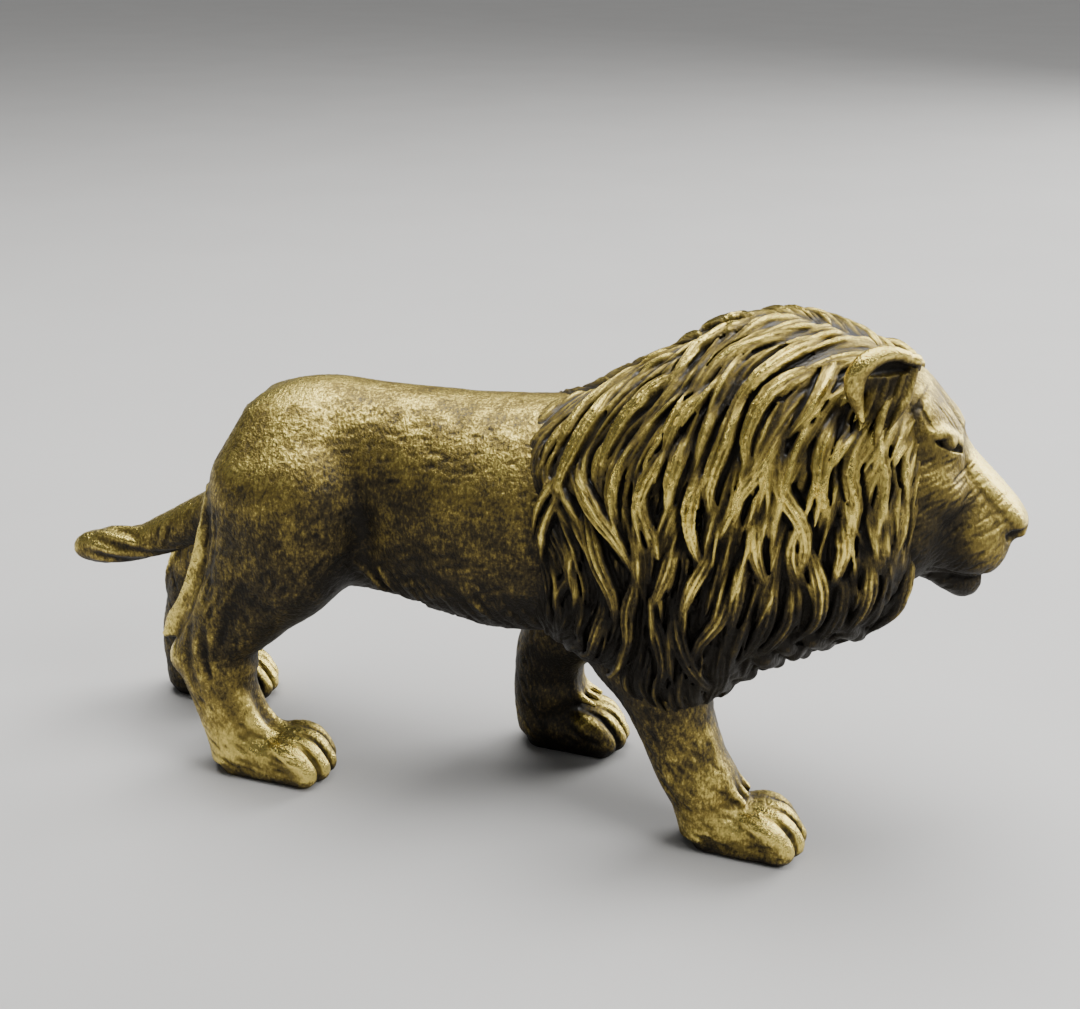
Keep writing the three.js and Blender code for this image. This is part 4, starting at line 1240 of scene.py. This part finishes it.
def spread(labels, quads, kinds, rounds):
    """Smooths which form each point belongs to, so that the pieces meet along clean lines."""
    shares = np.eye(kinds)[labels]
    a = quads[:, [0, 1, 2, 3]].ravel()
    b = quads[:, [1, 2, 3, 0]].ravel()
    weight = np.bincount(a, minlength=len(shares)) + np.bincount(b, minlength=len(shares))
    for _ in range(rounds):
        total = np.zeros_like(shares)
        for kind in range(kinds):
            total[:, kind] = np.bincount(a, shares[b, kind], len(shares))
            total[:, kind] += np.bincount(b, shares[a, kind], len(shares))
        shares = 0.5 * shares + 0.5 * total / np.maximum(weight, 1)[:, None]
    return shares.argmax(1)


def closing_fans(quads, points):
    """Faces that close the open edges of a skin: a fan from each loop to its own middle."""
    a = quads[:, [0, 1, 2, 3]].ravel()
    b = quads[:, [1, 2, 3, 0]].ravel()
    size = len(points)
    edges = a * size + b
    open_edge = ~np.isin(edges, b * size + a)
    follow = {}
    for start, stop in zip(b[open_edge], a[open_edge]):
        follow.setdefault(int(start), []).append(int(stop))
    hubs = []
    fans = []
    while follow:
        start = next(iter(follow))
        loop = [start]
        while follow.get(loop[-1]):
            options = follow[loop[-1]]
            following = options.pop()
            if not options:
                del follow[loop[-1]]
            if following == start:
                break
            loop.append(following)
        if len(loop) < 3:
            continue
        hub = size + len(hubs)
        hubs.append(points[loop].mean(0))
        fans += [(hub, p, q) for p, q in zip(loop, loop[1:] + loop[:1])]
    return np.array(hubs).reshape(-1, 3), np.array(fans, np.int64).reshape(-1, 3)


def add_attribute(mesh, label, values):
    """A number or a vector for each point of a mesh, which its finish reads."""
    vectors = values.ndim == 2
    attribute = mesh.attributes.new(label, "FLOAT_VECTOR" if vectors else "FLOAT", "POINT")
    attribute.data.foreach_set("vector" if vectors else "value", values.astype(np.float32).ravel())


def add_object(name, data):
    thing = bpy.data.objects.new(name, data)
    bpy.context.scene.collection.objects.link(thing)
    return thing


def make_piece(node, skin, quads, material, name=None):
    """A closed piece that stands for a node, from some faces of a skin, with the skin's own normals."""
    used, local = np.unique(quads, return_inverse=True)
    quads = local.reshape(quads.shape)
    hubs, fans = closing_fans(quads, skin["points"][used])
    places = np.vstack([skin["points"][used], hubs]) * MM
    around = np.concatenate([quads.ravel(), fans.ravel()])
    sizes = np.concatenate([np.full(len(quads), 4), np.full(len(fans), 3)])
    starts = np.concatenate([[0], np.cumsum(sizes)[:-1]])
    name = name or f"{node}_skin"
    mesh = bpy.data.meshes.new(name)
    mesh.vertices.add(len(places))
    mesh.vertices.foreach_set("co", places.astype(np.float32).ravel())
    mesh.loops.add(len(around))
    mesh.loops.foreach_set("vertex_index", around.astype(np.int32))
    mesh.polygons.add(len(sizes))
    mesh.polygons.foreach_set("loop_start", starts.astype(np.int32))
    mesh.update(calc_edges=True)
    mesh.shade_smooth()
    for label, values in skin["values"].items():
        at_hubs = np.zeros((len(hubs),) + values.shape[1:])
        add_attribute(mesh, label, np.concatenate([values[used], at_hubs]))
    upright = np.tile([0.0, 0.0, 1.0], (len(hubs), 1))
    mesh.normals_split_custom_set_from_vertices(np.vstack([skin["normals"][used], upright]))
    mesh.materials.append(material)
    piece = add_object(name, mesh)
    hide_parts(node)
    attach(piece, "root")


def make_pieces(nodes, labels, skin, material):
    """One piece for each node, from the faces whose points are labelled with its number."""
    labels = labels[skin["quads"]].max(1)
    for number, node in enumerate(nodes):
        make_piece(node, skin, skin["quads"][labels == number], material)


def shade_block(blocks):
    """A coarse block of the whole figure, from which the depth of hollows is read."""
    whole = Clay((-42, -14, -2), (42, 14, 45), SHADE_GRAIN)
    for block in blocks:
        low = block.first * block.grain + 0.2
        high = (block.first + block.count - 1) * block.grain - 0.2
        place, (x, y, z) = whole.window(low, high)
        shape = whole.depth[place].shape
        spots = np.stack(np.broadcast_arrays(x, y, z), -1).reshape(-1, 3)
        inside = np.all((spots > low) & (spots < high), axis=1)
        found = np.full(len(spots), FAR)
        found[inside] = block.sample(spots[inside])
        whole.depth[place] = np.minimum(whole.depth[place], found.reshape(shape))
    whole.depth = blur(np.clip(whole.depth, -2, 2), 1.6)
    return whole


def hollows(block, points, normals, whole):
    """How raised or sunk each point is, on a fine, a middle and a broad scale, in millimetres."""
    fine = blur(np.clip(block.depth, -1, 1), 0.3 / block.grain)
    middle = blur(np.clip(block.depth, -1.5, 1.5), 0.9 / block.grain)
    broad = whole.sample(points + 0.2 * normals) - 0.2
    return block.sample(points, fine), block.sample(points, middle), broad


GOLDEN_SHARE = 0.618  # spreads the numbers of neighbouring locks far apart


def lock_places(points, forms, locks):
    """For each point of the mane: how far across its lock, how far along it, and a number of its own."""
    hair = np.zeros((len(points), 3))
    hair[:, 0] = points[:, 0]
    hair[:, 1] = points[:, 2]
    order = np.argsort(forms, kind="stable")
    bounds = np.searchsorted(forms[order], np.arange(len(locks) + 2))
    for n, lock in enumerate(locks):
        chosen = order[bounds[n + 1] : bounds[n + 2]]
        if len(chosen) == 0:
            continue
        p = points[chosen]
        spine, across = lock["spine"], lock["across"]
        best = np.full(len(p), np.inf)
        total = 0.0
        for i in range(len(spine) - 1):
            along = spine[i + 1] - spine[i]
            length = np.linalg.norm(along)
            t = np.clip((p - spine[i]) @ along / length**2, 0, 1)
            q = p - spine[i] - t[:, None] * along
            gap = np.linalg.norm(q, axis=1)
            nearer = gap < best
            best[nearer] = gap[nearer]
            width = lock["width"][i] + t * (lock["width"][i + 1] - lock["width"][i])
            aside = (q * (across[i] + t[:, None] * (across[i + 1] - across[i]))).sum(1)
            hair[chosen[nearer], 0] = (aside / width)[nearer]
            hair[chosen[nearer], 1] = (total + t * length)[nearer]
            total += length
        hair[chosen, 2] = (n * GOLDEN_SHARE) % 1 * 50
    return hair


# Finishes


class Value:
    """A socket in sums: an expression on values adds the Math nodes that work it out."""

    def __init__(self, finish, socket):
        self.finish = finish
        self.socket = socket

    def sum(self, operation, *others):
        node = self.finish.add("ShaderNodeMath", dict(operation=operation), self, *others)
        return Value(self.finish, node.outputs[0])

    def __add__(self, other):
        return self.sum("ADD", other)

    def __radd__(self, other):
        return self.sum("ADD", other)

    def __sub__(self, other):
        return self.sum("SUBTRACT", other)

    def __rsub__(self, other):
        return (self * -1).sum("ADD", other)

    def __mul__(self, other):
        return self.sum("MULTIPLY", other)

    def __rmul__(self, other):
        return self.sum("MULTIPLY", other)

    def between(self, low, high):
        """0 below low, 1 above high, smooth between."""
        settings = dict(interpolation_type="SMOOTHSTEP")
        node = self.finish.add("ShaderNodeMapRange", settings, self, low, high, 0, 1)
        return Value(self.finish, node.outputs[0])


class Finish:
    """A material under construction."""

    def __init__(self, name):
        self.material = bpy.data.materials.new(name)
        self.material.use_nodes = True
        self.tree = self.material.node_tree
        self.shader = self.tree.nodes["Principled BSDF"]

    def plug(self, socket, value):
        if isinstance(value, Value):
            self.tree.links.new(value.socket, socket)
        elif isinstance(value, bpy.types.NodeSocket):
            self.tree.links.new(value, socket)
        else:
            socket.default_value = value

    def add(self, kind, settings, *inputs, **named):
        """A node of a type, with its settings first and then the values or links of its sockets."""
        node = self.tree.nodes.new(kind)
        for key, value in settings.items():
            setattr(node, key, value)
        for socket, value in zip([s for s in node.inputs if s.enabled], inputs):
            self.plug(socket, value)
        for key, value in named.items():
            self.plug(node.inputs[key.replace("_", " ")], value)
        return node

    def attribute(self, label, output="Fac"):
        node = self.add("ShaderNodeAttribute", dict(attribute_name=label))
        return Value(self, node.outputs[output])

    def place(self):
        return self.add("ShaderNodeTexCoord", {}).outputs["Object"]

    def part(self, vector, axis):
        return Value(self, self.add("ShaderNodeSeparateXYZ", {}, vector).outputs[axis])

    def stretched(self, vector, scale, turn=(0, 0, 0)):
        node = self.add("ShaderNodeMapping", {}, vector, Scale=scale, Rotation=turn)
        return node.outputs[0]

    def noise(self, vector, scale, detail, roughness=0.5):
        sockets = dict(Vector=vector, Scale=scale, Detail=detail, Roughness=roughness)
        return Value(self, self.add("ShaderNodeTexNoise", {}, **sockets).outputs[0])

    def mix(self, share, first, second):
        node = self.add("ShaderNodeMix", dict(data_type="RGBA"))
        self.plug(node.inputs["Factor"], share)
        self.plug(node.inputs["A"], first)
        self.plug(node.inputs["B"], second)
        return node.outputs["Result"]


DARK_PATINA = (0.011, 0.0085, 0.005, 1)
BROWN_PATINA = (0.060, 0.044, 0.016, 1)
OLD_BRASS = (0.26, 0.195, 0.055, 1)
RUBBED_BRASS = (0.93, 0.74, 0.2, 1)


def strand_grain(finish, specks):
    """The grain and the relief of long hair, and how far a place lies from the middle of its lock."""
    lines = finish.attribute("hair", "Vector")
    strands = finish.noise(finish.stretched(lines, (2.2, 0.45, 1)), 1.5, 3.0, 0.6)
    fine = finish.noise(finish.stretched(lines, (6.0, 0.9, 1)), 1.9, 2.0, 0.6)
    grain = strands * 0.5 + fine * 0.35 + specks * 0.15
    relief = strands * 0.6 + fine * 0.5 + specks * 0.3
    aside = finish.part(lines, "X").sum("ABSOLUTE").sum("MINIMUM", 1)
    return grain, relief, aside


def fur_grain(finish, place, specks):
    """The grain and the relief of short fur."""
    fur = finish.stretched(place, (4200, 4200, 2000), (0.0, 0.9, 0.0))
    strokes = finish.noise(fur, 1.0, 3.0, 0.65)
    return strokes * 0.65 + specks * 0.35, strokes * 0.8 + specks * 0.5


def antique_brass(name, hair, rub, contrast, stands, painted_top_light=1.1, mottle=1.0):
    """Cast brass, dark in its hollows and brightened by wear on its crests, with painted shade and painted
    light laid over it.

    More rub makes it brighter all over. Contrast and stands say how strongly fine crests and whole
    locks stand out, the light factor how much brighter it is painted where it faces up, as painted light
    from above, and mottle how uneven it is. Patina and painted shade darken it where its faces turn down
    and at marked places, and painted light brightens it at other marked places.
    """
    finish = Finish(name)
    place = finish.place()
    crest = finish.attribute("crest")
    stand = finish.attribute("stand")
    depth = finish.attribute("depth")
    upward = finish.attribute("upward")
    patina_and_painted_light = finish.attribute("patina_and_painted_light")
    cloudy = finish.noise(place, 170, 3.0) - 0.5
    blotches = finish.noise(place, 560, 3.0, 0.6) - 0.5
    specks = finish.noise(place, 5200, 2.0, 0.6)
    # Besides patina in the hollows, this paints light on faces that turn up, through the light factor. It
    # also paints shade on faces that turn down and at marked places.
    height = crest * contrast + stand * stands + depth * 0.8 + upward * painted_top_light - patina_and_painted_light * 0.9
    if hair:
        grain, relief, aside = strand_grain(finish, specks)
        # Darker towards the edges of each lock: patina in its partings, and painted shade on its sides.
        height = height - aside * 0.4
    else:
        grain, relief = fur_grain(finish, place, specks)
    uneven = (patina_and_painted_light.between(-0.9, 0) * 0.55 + 0.45) * mottle
    wear_and_painted_light = height + ((grain - 0.5) * 3.4 + blotches * 1.9) * uneven + cloudy * 0.8 + (rub + 0.45)
    bright = wear_and_painted_light.between(0.6, 1.5)
    brown = wear_and_painted_light.between(-0.05, 0.8)
    dark = wear_and_painted_light.between(-0.7, 0.2)
    colour = finish.mix(bright, OLD_BRASS, RUBBED_BRASS)
    colour = finish.mix(brown, BROWN_PATINA, colour)
    colour = finish.mix(dark, DARK_PATINA, colour)
    sockets = finish.shader.inputs
    finish.plug(sockets["Base Color"], colour)
    finish.plug(sockets["Metallic"], 0.7 + brown * 0.3)
    finish.plug(sockets["Roughness"], 0.52 - bright * 0.25 - brown * 0.06 + specks * 0.1)
    finish.plug(sockets["Coat Weight"], (1 - brown) * upward * 0.8)
    finish.plug(sockets["Coat Roughness"], 0.35)
    bump = finish.add("ShaderNodeBump", {}, Strength=0.9, Distance=0.00013, Height=relief)
    finish.plug(sockets["Normal"], bump.outputs[0])
    return finish.material


def dowel_brass():
    """Drawn brass rod, with fine rings from the lathe."""
    finish = Finish("dowel_brass")
    place = finish.place()
    rings = finish.noise(finish.stretched(place, (9000, 700, 700)), 1.0, 2.0)
    finish.plug(finish.shader.inputs["Base Color"], finish.mix(rings, OLD_BRASS, RUBBED_BRASS))
    finish.plug(finish.shader.inputs["Metallic"], 1.0)
    finish.plug(finish.shader.inputs["Roughness"], 0.3 + rings * 0.15)
    return finish.material


def pale_floor():
    finish = Finish("pale_floor")
    mottle = finish.noise(finish.place(), 30, 4.0)
    colour = finish.mix(mottle, (0.62, 0.61, 0.59, 1), (0.68, 0.67, 0.65, 1))
    finish.plug(finish.shader.inputs["Base Color"], colour)
    finish.plug(finish.shader.inputs["Roughness"], 0.7)
    return finish.material


# Making the figure


def clumps(points, size):
    """Small clumps of short fur, stretched along the way that the coat lies, between -1 and 1."""
    lean = lie_of(COAT, points[:, 0], points[:, 2], COAT_WIDTH)
    lie = np.stack([-np.sin(lean), 0 * lean, -np.cos(lean)], -1)
    flat = points - 0.5 * (points * lie).sum(1)[:, None] * lie
    return 0.65 * GRAIN.at(flat, size) + 0.45 * GRAIN.at(flat + 7.3, 0.55 * size)


def shaped(block, whole, relief, patina_and_painted_light):
    """The skin of a block with a fine relief, its normals, and what its finish reads at each point."""
    points, quads = block.skin()
    normals = corner_normals(points, quads)
    crest, stand, depth = hollows(block, points, normals, whole)
    amount = relief(points)
    moved = points + normals * amount[:, None]
    moved[:, 2] = np.maximum(moved[:, 2], 0)
    normals = corner_normals(moved, quads)
    values = {
        "crest": crest + 0.6 * amount,
        "stand": stand,
        "depth": depth,
        "upward": np.maximum(normals[:, 2], 0),
        # Painted shade: faces that turn down are darkened, on top of each part's own marks of patina,
        # painted shade and painted light.
        "patina_and_painted_light": ease(-normals[:, 2], -0.1, 0.8) + patina_and_painted_light(points),
    }
    return {"clay": points, "points": moved, "quads": quads, "normals": normals, "values": values}


def near_spots(points, spots):
    """How near each point is to any of some spots (x, y, z, radius) on either side: 1 at the middle."""
    total = np.zeros(len(points))
    for x, y, z, radius in spots:
        gap = (points[:, 0] - x) ** 2 + (np.abs(points[:, 1]) - y) ** 2 + (points[:, 2] - z) ** 2
        total = np.maximum(total, np.exp(-gap / radius**2))
    return total


# Marks for each part's finish: above zero it is darker, from dark patina that was left and from painted
# shade on undersides, low parts, creases and recesses; below zero it is lighter, from brass brightened by
# wear and from painted light.


def patina_and_painted_light_on_body(points):
    x, y, z = points.T
    # Painted shade under the belly.
    belly = ease(BELLY + 7 - z, 0, 6.5) * ease(z, BELLY - 4, BELLY - 1)
    belly = belly * ease(x, -14, -10) * ease(9 - x, 0, 3)
    # Painted shade in the fold in front of the thigh and in the pit over the near hock.
    folds = near_spots(points, [(-25.6, 7.6, 12.2, 1.1), (-12.0, 7.6, 24.5, 1.8), (-12.2, 7.4, 21.0, 2.0)])
    # Lighter where the flap stands out behind the thigh.
    flap = near_spots(points, [(-24.2, 7.0, 19.5, 1.3), (-25.0, 7.1, 16.6, 1.4), (-26.6, 7.1, 14.0, 1.5)])
    # Darker along the top of the back, from the waist forward.
    back = ease(z, BACK - 4, BACK) * ease(x, -17, -11)
    outer = ease(np.abs(y), 4.2, 6.8)
    # Painted shade on the inner faces of the lower legs, between the legs.
    inner = 0.55 * (1 - outer) * ease(15 - z, 0, 3)
    # Outer faces of the shanks and paws are made lighter: brass brightened by wear, and painted light.
    shanks = (0.2 + 0.3 * ease(-x, 0, 5)) * ease(13 - z, 0, 5)
    paws = 0.35 * ease(6.5 - z, 0, 3)
    # Painted shade near the floor, where the paws meet it.
    near_floor = 0.6 * ease(1.5 - z, 0, 1.3)
    leg_wear_and_painted_light = outer * (shanks + paws) - near_floor
    return 0.9 * belly + 0.45 * folds + 0.35 * back + inner - leg_wear_and_painted_light - 0.6 * flap


def patina_and_painted_light_on_mane(points):
    x, _, z = points.T
    # Painted shade darkens the lower mane and the ruff under the head; painted light brightens the upper
    # mane.
    low = ease(MANE_BOTTOM + 17 - z, 0, 12)
    ruff = ease(x, 25, 29) * ease(34 - z, 0, 3)
    return 1.5 * low + 0.4 * ruff - 0.45 * ease(z, 27, 33)


def patina_and_painted_light_on_face(points):
    x, _, z = points.T
    # Painted shade on the lower face, under the chin, in the eye sockets and under the nose, where the
    # nostrils also hold patina; painted highlight on the bridge of the nose. The temples, cheeks and
    # forehead are made darker.
    low = ease(31 - z, 0, 6) * ease(38.6 - x, 0, 3)
    temples = ease(32.6 - x, 0, 1.6)
    cheeks = near_spots(points, [(33.4, 5.0, 29.5, 2.7)])
    eyes = near_spots(points, [(34.0, 3.7, 34.4, 0.6), (34.6, 2.8, 33.6, 0.45)])
    nostrils = near_spots(points, [(39.4, 1.5, 27.1, 0.8), (38.7, 1.9, 26.9, 0.7)])
    bridge = near_spots(points, [(36.4, 1.2, 31.9, 1.9), (38.4, 1.2, 29.8, 1.7), (37.0, 2.9, 27.4, 2.2)])
    forehead = near_spots(points, [(33.0, 2.2, 36.6, 2.6)])
    chin = ease(24.6 - z, 0, 1.2)
    patina_and_painted_light = 0.75 * low + 0.4 * temples + 0.35 * cheeks + eyes + 0.8 * nostrils
    return patina_and_painted_light + 0.5 * forehead + 0.5 * chin - 0.6 * bridge


def painted_shade_on_ears(points):
    # Painted shade in the ear, below its slot.
    x, _, z = points.T
    return 0.8 * ease(40.9 - z, 0, 0.8) * ease(x, 28.3, 28.9)


def dress_body(body, whole):
    def relief(points):
        return 0.035 * clumps(points, 0.36) + 0.05 * GRAIN.at(points, 2.3)

    coat = antique_brass("coat_brass", hair=False, rub=-0.45, contrast=5.5, stands=0.4)
    skin = shaped(body, whole, relief, patina_and_painted_light_on_body)
    labels = spread(body.form_at(skin["clay"]), skin["quads"], len(FORMS), 12)
    make_pieces(FORMS, labels, skin, coat)


def dress_mane(mane, locks, whole):
    """The mane's skin, in four pieces."""
    hair = antique_brass("mane_brass", hair=True, rub=-0.5, contrast=3, stands=3, painted_top_light=-0.5)
    skin = shaped(mane, whole, lambda points: 0.02 * GRAIN.at(points, 0.4), patina_and_painted_light_on_mane)
    skin["values"]["hair"] = lock_places(skin["clay"], mane.form_at(skin["clay"]), locks)
    x, y, _ = skin["points"][skin["quads"]].mean(1).T
    for side_name, side in SIDES.items():
        for half_name, half in (("rear", -1), ("front", 1)):
            chosen = (y * side > 0) & ((x - MANE_MIDDLE) * half > 0)
            name = f"mane_{side_name}_{half_name}_skin"
            make_piece("mane", skin, skin["quads"][chosen], hair, name)


def dress_head(head, ears, whole):
    face = antique_brass("face_brass", hair=False, rub=-0.25, contrast=3.5, stands=0.4, mottle=0.6)
    skin = shaped(head, whole, lambda points: 0.018 * clumps(points, 0.3), patina_and_painted_light_on_face)
    labels = spread(head.form_at(skin["clay"]), skin["quads"], len(HEAD_FORMS), 6)
    make_pieces(HEAD_FORMS, labels, skin, face)
    for node, ear in ears.items():
        skin = shaped(ear, whole, lambda points: 0.012 * GRAIN.at(points, 0.4), painted_shade_on_ears)
        make_piece(node, skin, skin["quads"], face)


def dress_dowels():
    material = dowel_brass()
    for name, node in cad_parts.items():
        if name.endswith("_dowel"):
            node.data.materials.clear()
            node.data.materials.append(material)


def make_figure():
    body = make_body()
    mane, locks = make_mane()
    head = make_head()
    ears = {
        "right_ear": make_ear(SIDES["right"], drop=0.0),
        "left_ear": make_ear(SIDES["left"], drop=LEFT_EAR_DROP),
    }
    whole = shade_block([body, mane, head, *ears.values()])
    dress_body(body, whole)
    dress_mane(mane, locks, whole)
    dress_head(head, ears, whole)
    dress_dowels()


# Floor, light and camera, in metres

CAMERA_PLACE = (0.0338, -0.10716, 0.0699)
CAMERA_AZIMUTH = math.radians(16)
CAMERA_ELEVATION = math.radians(22)
CAMERA_LENS = 50
FLOOR_HALF = 8.0


def towards(aim):
    """The turn that points a light's or a camera's -Z along aim."""
    flat = math.hypot(aim[0], aim[1])
    return (math.atan2(flat, -aim[2]), 0, math.atan2(aim[1], aim[0]) - math.pi / 2)


def make_camera():
    data = bpy.data.cameras.new("camera")
    data.lens = CAMERA_LENS
    data.sensor_width = 36
    data.clip_start = 0.005
    camera = add_object("camera", data)
    camera.location = CAMERA_PLACE
    flat = math.cos(CAMERA_ELEVATION)
    forward = math.cos(CAMERA_AZIMUTH) * flat
    camera.rotation_euler = towards((-math.sin(CAMERA_AZIMUTH) * flat, forward, -math.sin(CAMERA_ELEVATION)))
    bpy.context.scene.camera = camera


def make_floor():
    mesh = bpy.data.meshes.new("floor")
    half = FLOOR_HALF
    corners_of_floor = [(-half, -half, 0), (half, -half, 0), (half, half, 0), (-half, half, 0)]
    mesh.from_pydata(corners_of_floor, [], [(0, 1, 2, 3)])
    mesh.materials.append(pale_floor())
    add_object("floor", mesh)


def make_lamp(name, place, target, size, power):
    """A square soft light of a size in metres."""
    data = bpy.data.lights.new(name, "AREA")
    data.size = size
    data.energy = power
    lamp = add_object(name, data)
    lamp.location = place
    lamp.rotation_euler = towards(np.array(target) - np.array(place))


def make_room_light(aim, power, softness):
    """Light from the whole ceiling, spread over so many degrees."""
    data = bpy.data.lights.new("room_light", "SUN")
    data.energy = power
    data.angle = math.radians(softness)
    add_object("room_light", data).rotation_euler = towards(aim)


def make_studio():
    world = bpy.data.worlds.new("studio")
    world.use_nodes = True
    background = world.node_tree.nodes["Background"]
    background.inputs["Color"].default_value = (0.8, 0.82, 0.85, 1)
    background.inputs["Strength"].default_value = 0.11
    bpy.context.scene.world = world
    make_room_light((-0.2, -0.35, -1), power=0.9, softness=60)
    make_lamp("overhead", (-0.03, 0.05, 0.36), (0, 0, 0.02), size=0.28, power=1.65)
    make_lamp("right_soft", (0.30, -0.10, 0.30), (0.01, 0, 0.02), size=0.16, power=0.7)
    make_lamp("behind_right", (0.31, 0.36, 0.19), (0.03, 0, 0.03), size=0.3, power=2.6)


make_camera()
make_studio()
make_floor()
make_figure()
